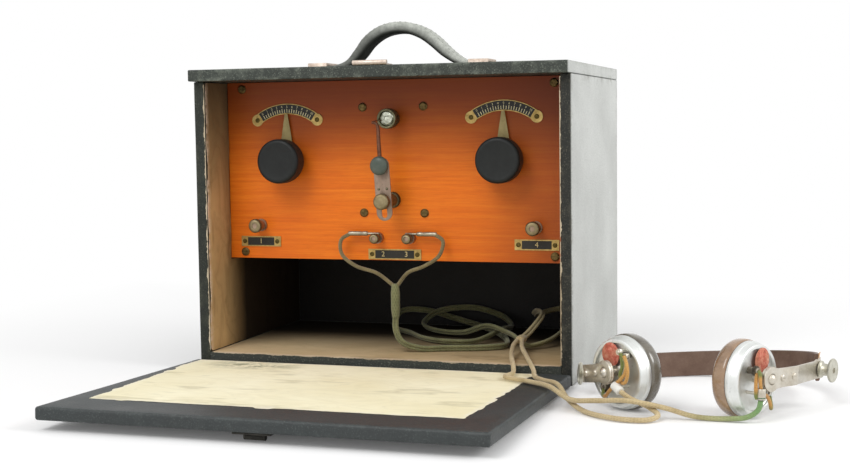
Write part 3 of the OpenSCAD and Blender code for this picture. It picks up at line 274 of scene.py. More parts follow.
def lathed(name, outline, around, place, finish, body, replaced=(), grip_from=math.inf):
    """A finished round piece about the Z of its place."""
    bm = placed(turned(outline, around, grip_from), place)
    return link_mesh(name, bm, finish, body, replaced)


def stand(at, along):
    """The place, in mm, of a round piece whose Z points along a direction."""
    turn = Vector((0, 0, 1)).rotation_difference(Vector(along)).to_matrix().to_4x4()
    return Matrix.Translation(Vector(at)) @ turn


def turn_z(degrees):
    return Matrix.Rotation(math.radians(degrees), 4, "Z")


def eased(node, width, finish, body):
    """A node's own shape with its sharp edges rounded by a width in mm."""
    bm = bmesh.new()
    bm.from_mesh(nodes[node].data)
    bmesh.ops.remove_doubles(bm, verts=bm.verts, dist=2e-6)
    bmesh.ops.dissolve_limit(bm, angle_limit=math.radians(1.5), verts=bm.verts, edges=bm.edges)
    sharp = [e for e in bm.edges
             if len(e.link_faces) == 2 and e.calc_face_angle(0) > math.radians(SHARP_EDGE)]
    bmesh.ops.bevel(bm, geom=sharp, offset=width * MM, segments=2, profile=0.5,
                    affect="EDGES", clamp_overlap=True, material=-1)
    return link_mesh("eased_" + node, bm, finish, body, (node,))


# Finishes

def srgb(r, g, b):
    """A colour as it is seen, turned into the linear values that a material holds."""
    return tuple(c / 255 / 12.92 if c < 11 else ((c / 255 + 0.055) / 1.055) ** 2.4
                 for c in (r, g, b))


def times(colour, share):
    return tuple(c * share for c in colour)


class Finish:
    """A material's nodes, added one by one."""

    def __init__(self, name):
        self.material = bpy.data.materials.new(name)
        self.material.use_nodes = True
        self.tree = self.material.node_tree
        self.shader = self.tree.nodes["Principled BSDF"]
        self.place = self.tree.nodes.new("ShaderNodeTexCoord").outputs["Object"]

    def put(self, socket, value):
        if isinstance(value, bpy.types.NodeSocket):
            self.tree.links.new(value, socket)
        elif isinstance(value, tuple) and socket.type == "RGBA":
            socket.default_value = (*value, 1)
        else:
            socket.default_value = value

    def node(self, kind, inputs, out=0, **settings):
        made = self.tree.nodes.new("ShaderNode" + kind)
        for name, value in settings.items():
            setattr(made, name, value)
        for name, value in inputs.items():
            self.put(made.inputs[name], value)
        return made.outputs[out]

    def scaled(self, sizes):
        return self.node("Mapping", {"Vector": self.place, "Scale": sizes})

    def noise(self, scale, detail=3, rough=0.5, place=None, warp=0):
        return self.node("TexNoise", {"Vector": place or self.place, "Scale": scale,
                                      "Detail": detail, "Roughness": rough,
                                      "Distortion": warp})

    def cells(self, scale):
        return self.node("TexVoronoi", {"Vector": self.place, "Scale": scale},
                         out="Distance", feature="SMOOTH_F1")

    def axis(self, letter):
        """The object's own X, Y or Z."""
        return self.node("SeparateXYZ", {"Vector": self.place}, out=letter)

    def uv(self, letter):
        """X or Y of the UV map."""
        where = self.node("TexCoord", {}, out="UV")
        return self.node("SeparateXYZ", {"Vector": where}, out=letter)

    def run(self, value, start, stop, low=0.0, high=1.0, soft=False):
        """Goes from low to high while the value goes from start to stop."""
        return self.node("MapRange", {"Value": value, "From Min": start, "From Max": stop,
                                      "To Min": low, "To Max": high},
                         interpolation_type="SMOOTHSTEP" if soft else "LINEAR")

    def ramp(self, value, *stops):
        """A value turned into colours or numbers by (position, colour or number) stops."""
        made = self.tree.nodes.new("ShaderNodeValToRGB")
        self.put(made.inputs["Fac"], value)
        bar = made.color_ramp
        while len(bar.elements) < len(stops):
            bar.elements.new(0.5)
        for element, (position, colour) in zip(bar.elements, stops):
            element.position = position
            tint = colour if isinstance(colour, tuple) else (colour,) * 3
            element.color = (*tint, 1)
        return made.outputs["Color"]

    def math(self, operation, a, b=0.0, clamp=False):
        made = self.tree.nodes.new("ShaderNodeMath")
        made.operation, made.use_clamp = operation, clamp
        self.put(made.inputs[0], a)
        self.put(made.inputs[1], b)
        return made.outputs[0]

    def mix(self, share, a, b):
        made = self.tree.nodes.new("ShaderNodeMix")
        made.data_type = "RGBA"
        for name, value in (("Factor_Float", share), ("A_Color", a), ("B_Color", b)):
            self.put(next(s for s in made.inputs if s.identifier == name), value)
        return next(s for s in made.outputs if s.identifier == "Result_Color")

    def over(self, under, tint, value, start, stop, most=1.0):
        """Lays a tint over a colour as a value goes from start to stop."""
        return self.mix(self.ramp(value, (start, 0.0), (stop, most)), under, tint)

    def attribute(self, name):
        return self.node("Attribute", {}, out="Fac", attribute_name=name)

    def height(self, value, distance, strength=1.0, under=None):
        inputs = {"Height": value, "Distance": distance, "Strength": strength}
        if under is not None:
            inputs["Normal"] = under
        return self.node("Bump", inputs)

    def ribs(self, count):
        """Ribs round a knurled piece, carried by its UV and its attribute "grip"."""
        rib = self.math("PINGPONG", self.math("MULTIPLY", self.uv("X"), float(count)), 0.5)
        return self.math("MULTIPLY", rib, self.attribute("grip"))

    def done(self, **sockets):
        for name, value in sockets.items():
            self.put(self.shader.inputs[name.replace("_", " ")], value)
        return self.material


FADE_RIM = 0.0012


def leatherette(name, base, worn, dust=0.0, sheen_face=None, rubbed=0.7, shine=0.28):
    """Black pebbled cloth: domed grain with rubbed tips, grey dust, worn edges, and on one
    piece a face drawn pale grey as painted sheen of strong light from the right."""
    f = Finish(name)
    pebble = f.cells(760)
    grain = f.noise(2600, 2)
    blotch = f.noise(22, 5, 0.65)
    patch = f.noise(130, 4, 0.7)
    colour = f.over(base, times(base, 1.5), blotch, 0.3, 0.75)
    tip = f.math("MULTIPLY", f.ramp(pebble, (0.12, 0.55), (0.34, 0.0)),
                 f.ramp(patch, (0.36, 0.25), (0.62, 1.0)))
    colour = f.mix(tip, colour, worn)
    # Painted sheen: past from_x the black cloth is drawn pale grey, standing in for the glare of
    # strong light from the right.
    if sheen_face:
        lit, from_x = sheen_face
        share = f.run(f.axis("X"), from_x - FADE_RIM, from_x)
        painted_sheen = f.over(lit, times(lit, 0.88), blotch, 0.35, 0.7)
        painted_sheen = f.over(painted_sheen, times(lit, 0.72), pebble, 0.3, 0.6, 0.4)
        colour = f.mix(share, colour, painted_sheen)
    rub = f.math("MULTIPLY", f.attribute("edge"),
                 f.ramp(f.noise(90, 6, 0.7), (0.48, 0.0), (0.7, rubbed)), clamp=True)
    colour = f.mix(rub, colour, worn)
    if dust:
        colour = f.mix(f.math("MULTIPLY", f.ramp(f.noise(60, 6, 0.7), (0.2, 0.75), (0.8, 1.0)),
                              dust), colour, srgb(172, 173, 168))
    shape = f.height(f.math("SUBTRACT", 0.8, pebble), 0.0003)
    shape = f.height(grain, 0.00008, 0.7, shape)
    return f.done(Base_Color=colour, Roughness=f.ramp(blotch, (0.2, 0.46), (0.8, 0.6)),
                  Specular_IOR_Level=shine, Normal=shape)


def worn_metal(name, clean, dull, roughness=0.32, grain=220, metallic=1.0, grips=0):
    """Plated metal that has gone dull in patches, with fine scratches. Grips is how many
    ribs run round a knurled piece."""
    f = Finish(name)
    patch = f.noise(grain, 5, 0.65)
    spot = f.noise(grain * 5, 3, 0.6)
    colour = f.over(clean, dull, patch, 0.25, 0.8)
    colour = f.over(colour, times(dull, 0.4), spot, 0.62, 0.76, 0.4)
    scratch = f.noise(900, 2, place=f.scaled((1, 1, 14)))
    shape = f.height(scratch, 0.00006, 0.5, f.height(spot, 0.00005, 0.6))
    if grips:
        rib = f.ribs(grips)
        shape = f.height(rib, 0.0011, 1.0, shape)
        valley = f.math("MULTIPLY", f.attribute("grip"),
                        f.ramp(rib, (0.05, 0.8), (0.3, 0.0)), clamp=True)
        colour = f.mix(valley, colour, times(dull, 0.3))
    return f.done(Base_Color=colour, Metallic=metallic,
                  Roughness=f.ramp(patch, (0.25, roughness), (0.8, min(1.0, roughness + 0.28))),
                  Normal=shape)


def orange_wood():
    """Varnished panel: fine level grain, painted shade from the top lip toward its top, and darker
    toward its right end.
    """
    f = Finish("panel_wood")
    grain = f.noise(12, 8, 0.7, f.scaled((1, 1, 34)), 0.3)
    pore = f.noise(110, 4, 0.65, f.scaled((1, 1, 34)))
    cloud = f.noise(9, 4, 0.5)
    colour = f.ramp(grain, (0.3, srgb(218, 102, 14)), (0.5, srgb(234, 118, 20)),
                    (0.74, srgb(246, 140, 34)))
    colour = f.over(colour, srgb(206, 92, 16), cloud, 0.35, 0.72, 0.6)
    colour = f.over(colour, srgb(176, 74, 10), pore, 0.5, 0.72, 0.34)
    # Painted shade: the shadow of the case's top lip, darker toward the panel's top.
    level = f.math("ADD", f.axis("Z"), f.math("MULTIPLY", cloud, 0.03))
    top = f.run(level, 0.17, 0.262, high=0.86, soft=True)
    colour = f.mix(top, colour, srgb(98, 38, 14))
    side = f.run(f.axis("X"), 0.05, 0.16, high=0.72, soft=True)
    colour = f.mix(side, colour, srgb(118, 50, 18))
    return f.done(Base_Color=colour, Roughness=f.ramp(grain, (0.3, 0.42), (0.8, 0.52)),
                  Specular_IOR_Level=0.22, Coat_Weight=0.08, Coat_Roughness=0.25,
                  Normal=f.height(pore, 0.00008, 0.5))


def plain_wood(name, light, dark, across=(40, 40, 3)):
    """Bare wood with a straight grain and old stains."""
    f = Finish(name)
    grain = f.noise(10, 6, 0.65, f.scaled(across))
    stain = f.noise(26, 6, 0.7)
    colour = f.over(light, dark, grain, 0.3, 0.7)
    colour = f.over(colour, times(dark, 0.5), stain, 0.55, 0.75, 0.5)
    return f.done(Base_Color=colour, Roughness=0.72, Normal=f.height(stain, 0.0004, 0.5))


def old_paper(name, light, dark, torn, creases=0.5, painted_shades=(), stain=None):
    """Lining paper with water stains, fox marks and creases; "edge" marks the torn rim. Each
    painted shade is an axis, where it starts and ends and its tint, darkening the paper where
    shade falls; a stain is a place, a reach and a tint."""
    f = Finish(name)
    cloud = f.noise(9, 5, 0.6)
    fox = f.noise(75, 5, 0.7)
    crease = f.noise(17, 4, 0.55, f.scaled((1, 2, 1)), 1.1)
    colour = f.over(light, dark, cloud, 0.3, 0.78)
    colour = f.over(colour, times(dark, 0.5), fox, 0.6, 0.8, 0.4)
    ring = f.ramp(f.noise(13, 3, 0.55, f.scaled((1, 2.6, 1))), (0.57, 0.0), (0.65, 0.5),
                  (0.7, 0.15))
    colour = f.mix(ring, colour, times(dark, 0.62))
    wrinkle = f.ramp(crease, (0.44, 0.0), (0.5, 0.08 + 0.1 * creases), (0.56, 0.0))
    colour = f.mix(wrinkle, colour, times(dark, 0.7))
    for axis, start, stop, tint in painted_shades:
        colour = f.mix(f.run(f.axis(axis), start, stop), colour, tint)
    if stain:
        at, reach, tint = stain
        off = f.node("VectorMath", {0: f.scaled((1, 1.8, 1)), 1: at}, out="Value",
                     operation="DISTANCE")
        share = f.math("MULTIPLY", f.run(off, reach, 0.0),
                       f.ramp(fox, (0.4, 0.0), (0.56, 1.0)), clamp=True)
        colour = f.mix(share, colour, tint)
    rim = f.math("MULTIPLY", f.attribute("edge"),
                 f.ramp(f.noise(160, 5, 0.7), (0.38, 0.1), (0.6, 1.0)), clamp=True)
    colour = f.mix(rim, colour, torn)
    return f.done(Base_Color=colour, Roughness=0.82, Specular_IOR_Level=0.2,
                  Normal=f.height(crease, 0.0008, creases))


def leather(name, base, worn, gloss=0.5, dust_and_light=None):
    """Smooth leather with fine creases. Dust and painted light lie where the attribute "edge" marks
    them.
    """
    f = Finish(name)
    crease = f.cells(700)
    cloud = f.noise(45, 5, 0.65)
    colour = f.over(base, worn, cloud, 0.35, 0.7, 0.7)
    colour = f.over(colour, worn, f.noise(420, 4, 0.7), 0.58, 0.74, 0.5)
    if dust_and_light:
        share = f.math("MULTIPLY", f.attribute("edge"),
                       f.ramp(f.noise(240, 5, 0.75), (0.3, 0.55), (0.62, 1.0)), clamp=True)
        colour = f.mix(share, colour, dust_and_light)
    return f.done(Base_Color=colour, Roughness=gloss, Specular_IOR_Level=0.3,
                  Normal=f.height(crease, 0.00015, 0.8, f.height(cloud, 0.0005, 0.4)))


def moulding(name, base, streak, gloss, coat=0.3, grips=0):
    """Pressed black or brown plastic, hazed and faintly streaked."""
    f = Finish(name)
    flow = f.noise(38, 5, 0.6, warp=1.2)
    haze = f.noise(300, 4, 0.6)
    colour = f.over(base, streak, flow, 0.4, 0.72)
    shape = f.height(haze, 0.00004, 0.5)
    if grips:
        shape = f.height(f.ribs(grips), 0.0006, 0.9, shape)
        dust = f.math("MULTIPLY", f.attribute("grip"),
                      f.ramp(haze, (0.4, 0.1), (0.7, 0.5)), clamp=True)
        colour = f.mix(dust, colour, tuple(c * 1.8 + 0.03 for c in streak))
    return f.done(Base_Color=colour, Roughness=f.ramp(haze, (0.3, gloss), (0.8, gloss + 0.14)),
                  Specular_IOR_Level=0.35, Coat_Weight=coat, Coat_Roughness=0.12,
                  Normal=shape)


def enamel(name, colour, chip, share=0.6):
    """Paint or printed ink with small chips in it."""
    f = Finish(name)
    mark = f.noise(900, 4, 0.65)
    tone = f.over(colour, times(colour, 0.6), f.noise(120, 4, 0.6), 0.3, 0.8, 0.5)
    tone = f.over(tone, chip, mark, share, share + 0.1, 0.7)
    return f.done(Base_Color=tone, Roughness=0.55, Normal=f.height(mark, 0.00003, 0.5))


def worn_label():
    """Red paper disc, rubbed through to pink and white, with nothing legible on it."""
    f = Finish("worn_label")
    rub = f.noise(260, 6, 0.75)
    cloud = f.noise(110, 4, 0.6)
    colour = f.ramp(rub, (0.34, srgb(150, 66, 50)), (0.48, srgb(196, 98, 78)),
                    (0.58, srgb(214, 140, 118)), (0.72, srgb(214, 200, 176)))
    colour = f.over(colour, srgb(168, 120, 84), cloud, 0.45, 0.7, 0.55)
    return f.done(Base_Color=colour, Roughness=0.75, Normal=f.height(rub, 0.0003, 0.6))


def braid(name, light, dark, tip=None, pitch=5.2, carriers=10):
    """Woven cotton round a cord: u runs along it in mm, v once round it. The tint of tip
    takes over between its two distances along the cord."""
    f = Finish(name)
    along = f.math("MULTIPLY", f.uv("X"), 1 / pitch)
    round_it = f.math("MULTIPLY", f.uv("Y"), carriers)
    one = f.math("PINGPONG", f.math("ADD", round_it, along), 0.5)
    other = f.math("PINGPONG", f.math("SUBTRACT", round_it, along), 0.5)
    weave = f.math("MAXIMUM", one, other)
    fibre = f.noise(3200, 2)
    cloud = f.noise(70, 5, 0.7)
    colour = f.over(light, dark, cloud, 0.35, 0.7)
    if tip:
        start, stop, tint = tip
        colour = f.mix(f.run(f.uv("X"), start, stop), colour, tint)
    groove = f.ramp(weave, (0.1, 0.5), (0.42, 0.0))
    colour = f.mix(groove, colour, times(dark, 0.4))
    colour = f.over(colour, light, fibre, 0.55, 0.75, 0.3)
    return f.done(Base_Color=colour, Roughness=0.86, Sheen_Weight=0.25, Sheen_Roughness=0.5,
                  Normal=f.height(weave, 0.0005, 0.9))


RIGHT_FACE_X = 0.165
# Painted sheen on the right end faces of the top and the right board.
painted_sheen_face = (srgb(206, 208, 204), RIGHT_FACE_X)
case_cloth = leatherette("case_cloth", srgb(44, 48, 43), srgb(132, 133, 120), 0.05)
# Painted shade: a darker copy of the case cloth on the left board, undoing the key lamp's light on
# it.
shaded_left_cloth = leatherette("shaded_left_cloth", srgb(22, 26, 20), srgb(78, 80, 66), 0.02)
top_cloth = leatherette("top_cloth", srgb(38, 43, 38), srgb(140, 147, 133), 0.04,
                        painted_sheen_face)
# Painted shade: near-black cloth for the inside of the back, which lies in shade.
painted_shade_cloth = leatherette("painted_shade_cloth", srgb(18, 16, 14), srgb(40, 34, 26), rubbed=0.2)
stile_cloth = leatherette("stile_cloth", srgb(25, 26, 22), srgb(100, 96, 82), 0.02,
                          painted_sheen_face)
door_cloth = leatherette("door_cloth", srgb(18, 26, 28), srgb(78, 86, 84), 0.06,
                         rubbed=0.35, shine=0.42)
panel_finish = orange_wood()
frame_wood = plain_wood("frame_wood", srgb(96, 72, 46), srgb(64, 46, 28), (3, 40, 40))
# Dust and painted light: the strap's top and right end drawn pale grey.
strap_leather = leather("strap_leather", srgb(44, 46, 42), srgb(76, 78, 72), 0.65,
                        srgb(190, 193, 185))
stitch_thread = leather("stitch_thread", srgb(92, 94, 86), srgb(130, 131, 122), 0.8)
band_leather = leather("band_leather", srgb(92, 70, 58), srgb(126, 104, 90), 0.45)
scale_brass = worn_metal("scale_brass", srgb(204, 176, 112), srgb(150, 126, 74), 0.38)
screw_brass = worn_metal("screw_brass", srgb(136, 114, 72), srgb(62, 50, 30), 0.4, 420)
pin_brass = worn_metal("pin_brass", srgb(122, 106, 62), srgb(62, 52, 28), 0.45, 500)
dull_steel = worn_metal("dull_steel", srgb(118, 110, 88), srgb(62, 54, 38), 0.45, 300)
post_nickel = worn_metal("post_nickel", srgb(182, 158, 138), srgb(132, 108, 90), 0.36, 120)
strip_nickel = worn_metal("strip_nickel", srgb(168, 148, 132), srgb(140, 120, 104), 0.42, 60)
nut_nickel = worn_metal("nut_nickel", srgb(164, 150, 118), srgb(118, 104, 76), 0.38, 120,
                        grips=44)
cup_nickel = worn_metal("cup_nickel", srgb(140, 136, 108), srgb(84, 80, 58), 0.38, 300,
                        grips=40)
pointer_metal = worn_metal("pointer_metal", srgb(176, 160, 112), srgb(138, 122, 82), 0.5, 90,
                           0.6)
rod_copper = worn_metal("rod_copper", srgb(132, 88, 66), srgb(80, 50, 36), 0.42, 300, 0.7)
headset_nickel = worn_metal("headset_nickel", srgb(222, 218, 208), srgb(178, 168, 150), 0.3,
                            90)
tip_nickel = worn_metal("tip_nickel", srgb(186, 178, 160), srgb(140, 130, 112), 0.34, 140)
clamp_nickel = worn_metal("clamp_nickel", srgb(214, 212, 200), srgb(170, 166, 148), 0.3, 160,
                          grips=60)
dark_terminal = worn_metal("dark_terminal", srgb(128, 120, 106), srgb(66, 60, 52), 0.36, 300,
                           grips=26)
cup_aluminium = worn_metal("cup_aluminium", srgb(236, 238, 236), srgb(212, 214, 210), 0.28,
                           60)
strike_metal = worn_metal("strike_metal", srgb(216, 202, 190), srgb(180, 162, 146), 0.42, 160)
catch_iron = worn_metal("catch_iron", srgb(64, 62, 56), srgb(40, 38, 34), 0.6, 200, 0.5)
knob_black = moulding("knob_black", srgb(11, 13, 12), srgb(20, 23, 21), 0.5, 0.03, 130)
grey_cap = moulding("grey_cap", srgb(86, 80, 70), srgb(116, 110, 98), 0.2, 0.9)
brown_cap = moulding("brown_cap", srgb(134, 106, 80), srgb(164, 134, 104), 0.2, 0.9)
whisker_green = moulding("whisker_green", srgb(66, 76, 68), srgb(92, 98, 88), 0.4, 0.1)
scale_black = enamel("scale_black", srgb(26, 25, 21), srgb(96, 84, 52), 0.7)
plate_dark = enamel("plate_dark", srgb(26, 23, 12), srgb(104, 88, 48), 0.62)
mark_cream = enamel("mark_cream", srgb(226, 214, 168), srgb(150, 134, 90), 0.7)
mark_brass = enamel("mark_brass", srgb(210, 190, 134), srgb(130, 110, 66), 0.72)
ferrule_white = enamel("ferrule_white", srgb(236, 234, 226), srgb(190, 182, 164), 0.64)
label_red = worn_label()
crystal_grey = worn_metal("crystal_grey", srgb(236, 238, 222), srgb(126, 130, 108), 0.2, 420,
                          0.75)
coil_fibre = plain_wood("coil_fibre", srgb(150, 112, 70), srgb(110, 78, 44))
coil_copper = worn_metal("coil_copper", srgb(156, 84, 44), srgb(104, 52, 26), 0.4, 200)
magnet_iron = worn_metal("magnet_iron", srgb(78, 78, 82), srgb(52, 50, 50), 0.5, 200)
door_paper_finish = old_paper("door_paper", srgb(248, 243, 214), srgb(232, 222, 182),
                              srgb(236, 230, 210), 0.5,
                              stain=((-0.1, -0.24, 0.01), 0.05, srgb(118, 122, 96)))
# Painted shade: darker toward the top, under the lip, and toward the back of the case.
side_paper = old_paper("side_paper", srgb(200, 166, 116), srgb(150, 118, 76),
                       srgb(220, 198, 178), 1.6,
                       (("Z", 0.14, 0.26, srgb(92, 72, 50)),
                        ("Y", -0.075, -0.03, srgb(44, 34, 24))))
# Painted shade: darker toward the back of the case.
floor_paper = old_paper("floor_paper", srgb(206, 184, 146), srgb(178, 154, 114),
                        srgb(216, 196, 172), 0.6, (("Y", -0.06, 0.03, srgb(40, 33, 23)),))
torn_paper = old_paper("torn_paper", srgb(206, 192, 168), srgb(168, 150, 122),
                       srgb(232, 222, 208), 0.8)
torn_leather = leather("torn_leather", srgb(204, 160, 116), srgb(234, 206, 172), 0.7)


# Cord, in the places where its solids lie

CORD_D, BRANCH_D, LEAD_D = 5.6, 3.8, 3.2
SLEEVE_D, YOKE_D = 7.8, 8.8
SLEEVE_TOP, SLEEVE_RUN = (4, -70, 75), (0, 0, -29)
YOKE_START, YOKE_RUN = (108, -38, 27), (0, -12, 0)
TIP_X, TIP_Y, TIP_Z = 22, -64.3, 117.4
MAIN_ROUTE = [
    (4, -70, 47), (4, -70, 36), (9, -69, 25), (24, -64, 19.2), (46, -55, 18.8),
    (72, -47, 18.8), (90, -32, 18.8), (86, -6, 18.8), (68, 34, 18.8), (46, 62, 20),
    (14, 82, 24), (-18, 86, 31), (-40, 78, 31), (-40, 54, 20), (-12, 20, 18.8),
    (10, -8, 18.8), (34, -22, 19), (58, -15, 19), (75, 14, 25.5), (74, 58, 22),
    (58, 83, 28), (30, 85, 35), (0, 71, 33), (-9, 48, 24), (8, 28, 21), (40, 14, 22),
    (66, 2, 30.5), (87, -10, 27), (97, -22, 25.5), (110, -30, 19.4), (122, -22, 21),
    (131, 4, 26), (136, 36, 36), (130, 66, 40), (112, 76, 37), (97, 58, 34),
    (106, 26, 42), (116, 2, 42), (111, -24, 31), (108, -39, 27),
]
RIGHT_ROUTE = [
    (105.8, -49, 27), (106, -64, 24.5), (111, -90, 20), (119, -116, 17),
    (123, -134, 14.2), (121, -150, 14.4), (131, -160, 14.8), (148, -172, 15.1),
    (166, -190, 15.5), (182, -199, 9), (204, -209, 11), (226, -214, 13),
    (252, -212, 9), (274, -208, 2.8), (298, -208, 2.6), (310, -208.5, 4.5),
    (317, -207, 9.5), (318.8, -206.9, 16.2),
]
LEFT_ROUTE = [
    (110.2, -49, 27), (114, -66, 24), (124, -90, 20), (137, -122, 15.2),
    (144, -146, 14.3), (154, -162, 15), (169, -178, 15.2), (179, -190, 7),
    (194, -207, 2.6), (214, -223, 2.4), (232, -228, 2.4), (244, -225, 2.6),
    (249, -216, 4.2), (241, -209, 8.4), (229, -209.5, 13.4), (220.9, -206.5, 17.7),
]
LEFT_TIP_ROUTE = [
    (-38, -64.3, 117.4), (-46, -66.5, 112), (-44, -71, 100), (-31, -72, 90),
    (-12, -71, 84), (1.8, -70, 74),
]
RIGHT_TIP_ROUTE = [
    (38, -64.3, 117.4), (46, -66.5, 112), (44, -71, 100), (31, -72, 91),
    (16, -71, 85), (6.2, -70, 74),
]
RING_STEP = 1.3 * MM
# Points between which a branch would rise from the case's floor to the headset if that were picked
# up.
BRANCH_FREE, RIGHT_HELD, LEFT_HELD = (112, -70, 24), (300, -208, 8), (225, -208, 10)


def make_cord_piece(name, route, section, finish, node, body="case"):
    """Braids a cord along its route; gives the piece, its line and its length."""
    line = smooth_line(route, RING_STEP)
    piece = link_mesh(name, sweep(line, [section] * len(line), (1, 0, 0)), finish, body,
                      (node,))
    return piece, line, line_length(line)


def make_wrap(name, start, run, width, flat, swell, finish):
    """A woven wrap where cords join: swell gives its size at each share of its run."""
    start, run = Vector(start), Vector(run)
    line = smooth_line([start, start + run / 2, start + run], RING_STEP)
    section = round_section(width / 2 * MM, 24)
    rings = [[(a * swell(share), b * swell(share) * flat) for a, b in section]
             for share in np.linspace(0, 1, len(line))]
    return link_mesh(name, sweep(line, rings, (1, 0, 0)), finish, "case",
                     ("cord_fittings",))


def sleeve_swell(share):
    return 0.72 + 0.28 * min(1, 3.2 * min(share, 1 - share) + 0.2)


def yoke_swell(share):
    return 0.74 + 0.26 * math.sin(math.pi * (0.12 + 0.76 * share))


def make_phone_tip(side):
    """Slim metal tip of a headset lead, from its pin to the end of its ferrule."""
    outline = [(0, -10.2), (0.7, -10.2), (1.1, -9.6), (1.1, 0), (1.5, 0.2), (2, 1), (2, 5),
               (1.75, 5.4), (1.75, 6), (2, 6.4), (2, 16.4), (1.8, 17.6), (1.6, 18), (0, 18)]
    place = stand((side * TIP_X, TIP_Y, TIP_Z), (side, 0, 0))
    return lathed(hand(side) + "_tip", outline, 48, place, tip_nickel, "case",
                  ("cord_fittings",))


def make_cords():
    olive, cream, straw = srgb(138, 138, 96), srgb(216, 196, 152), srgb(184, 162, 118)
    green = braid("braid_green", olive, srgb(100, 102, 66))
    fade = braid("braid_main", olive, srgb(104, 104, 68), (780, 1060, srgb(186, 170, 126)))
    tan = braid("braid_tan", cream, straw, pitch=4.6)
    mossy = braid("braid_mossy", cream, straw, (270, 325, srgb(112, 156, 96)), 4.6)
    lead = braid("braid_lead", srgb(142, 128, 88), srgb(104, 92, 58), pitch=4.2)
    sleeve = make_wrap("cord_sleeve", SLEEVE_TOP, SLEEVE_RUN, SLEEVE_D, 0.86, sleeve_swell,
                       green)
    yoke = make_wrap("cord_yoke", YOKE_START, YOKE_RUN, YOKE_D, 0.8, yoke_swell, tan)
    tips = {side: make_phone_tip(side) for side in (-1, 1)}
    for side, route in ((-1, LEFT_TIP_ROUTE), (1, RIGHT_TIP_ROUTE)):
        name = hand(side) + "_tip_lead"
        piece, line, run = make_cord_piece("braided_" + name, route,
                                           round_section(LEAD_D / 2 * MM), lead,
                                           name)
    piece, line, run = make_cord_piece("braided_main", MAIN_ROUTE, twin_section(CORD_D * MM),
                                       fade, "main_cord")
    for name, route, finish, held in (("right_branch", RIGHT_ROUTE, mossy, RIGHT_HELD),
                                      ("left_branch", LEFT_ROUTE, tan, LEFT_HELD)):
        piece, line, run = make_cord_piece("braided_" + name, route,
                                           round_section(BRANCH_D / 2 * MM), finish,
                                           name, None)
        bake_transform(piece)


make_cords()


# Case

IN_X, FRONT_Y, BACK_Y, TOP_Z, FLOOR_Z = 155.5, -104, 94.5, 249.5, 15.5
HALF_W, CASE_H, LIP_Y, REAR_Y, BOARD_R = 165, 259.5, -115, 104, 1.1
PANEL_FRONT, SHELF_LOW = -58, 94
PAPER_T = 0.15
SIDE_RIM_Z, SIDE_RIM_HALF, FLOOR_RIM_HALF = 132, 115, 152
# The torn rims are thin enough to stay clear of the closed door.
SIDE_RIM_OUT, SIDE_RIM_T, FLOOR_RIM_OUT, FLOOR_RIM_T = 0.03, 0.05, 0.04, 0.03


def make_case():
    """The four boards whose covering is rubbed at the edges; the bottom keeps its own shape."""
    sides = {
        "left_side_board": ((-HALF_W, FRONT_Y, 0), (-IN_X, REAR_Y, TOP_Z), "case_left_side"),
        "right_side_board": ((IN_X, FRONT_Y, 0), (HALF_W, REAR_Y, TOP_Z), "case_right_side"),
        "back_board": ((-IN_X, BACK_Y, 0), (IN_X, REAR_Y, TOP_Z), "case_back"),
        "top_board": ((-HALF_W, LIP_Y, TOP_Z), (HALF_W, REAR_Y, CASE_H), "case_top"),
    }
    finishes = {"left_side_board": shaded_left_cloth, "right_side_board": stile_cloth,
                "top_board": top_cloth}
    for name, (low, high, node) in sides.items():
        link_mesh(name, covered_board(low, high, BOARD_R, wobble=0.25),
                  finishes.get(name, case_cloth), "case", (node,))


def lining(name, across, up, spacing, place, finish, rag, fold=0.25, off=0.05, keep=None):
    """A pasted paper sheet over a range of mm, wrinkled and torn along its rim. The place
    turns its flat X and Y into the case's own directions, its Z into the room. Its loose
    side is its low X if only a part of it is kept, and its low Y if not."""
    (x0, x1), (y0, y1) = across, up
    bm = flat_grid(int((x1 - x0) / spacing), int((y1 - y0) / spacing))
    for v in bm.verts:
        v.co = Vector((x0 + (v.co.x + 1) / 2 * (x1 - x0), y0 + (v.co.y + 1) / 2 * (y1 - y0), 0))
    if keep:
        gone = [f for f in bm.faces if not keep(f.calc_center_median())]
        bmesh.ops.delete(bm, geom=gone, context="FACES")
    edge = bm.verts.layers.float.new("edge")
    rim = [v for v in bm.verts if v.is_boundary]
    for v in bm.verts:
        from_rim = min(v.co.x - x0, x1 - v.co.x, v.co.y - y0, y1 - v.co.y)
        from_open = v.co.x - x0 if keep else v.co.y - y0
        v[edge] = max(0.0, 1 - from_open / 6)
        swell = noise.noise(v.co * 0.03) + 0.6 * noise.noise(v.co * 0.09)
        ridge = 1 - abs(noise.noise(Vector((v.co.x * 0.05, v.co.y * 0.016, 3)))) * 7
        lift = 0.25 + 0.4 * swell + 0.6 * max(0.0, ridge)
        v.co.z = off + fold * min(1.0, max(0.0, lift)) * min(1.0, from_rim / 4)
    middle = Vector(((x0 + x1) / 2, (y0 + y1) / 2, 0))
    for v in rim:
        loose = v.co.x < x0 + 0.5 if keep else v.co.y < y0 + 0.5
        ragged = 0.55 + 0.9 * noise.noise(v.co * 0.055) + 0.35 * noise.noise(v.co * 0.4)
        tear = (1.0 if loose else 0.12) * rag * ragged
        v.co -= (v.co - middle).normalized() * max(0.0, tear)
    bmesh.ops.solidify(bm, geom=bm.faces[:], thickness=PAPER_T)
    for v in bm.verts:
        v.co *= MM
    return link_mesh(name, placed(bm, place), finish, "case")


def axes(x, y, z, at=(0, 0, 0)):
    """A place whose own X, Y and Z point along three directions."""
    turn = Matrix((x, y, z)).transposed().to_4x4()
    return Matrix.Translation(Vector(at)) @ turn


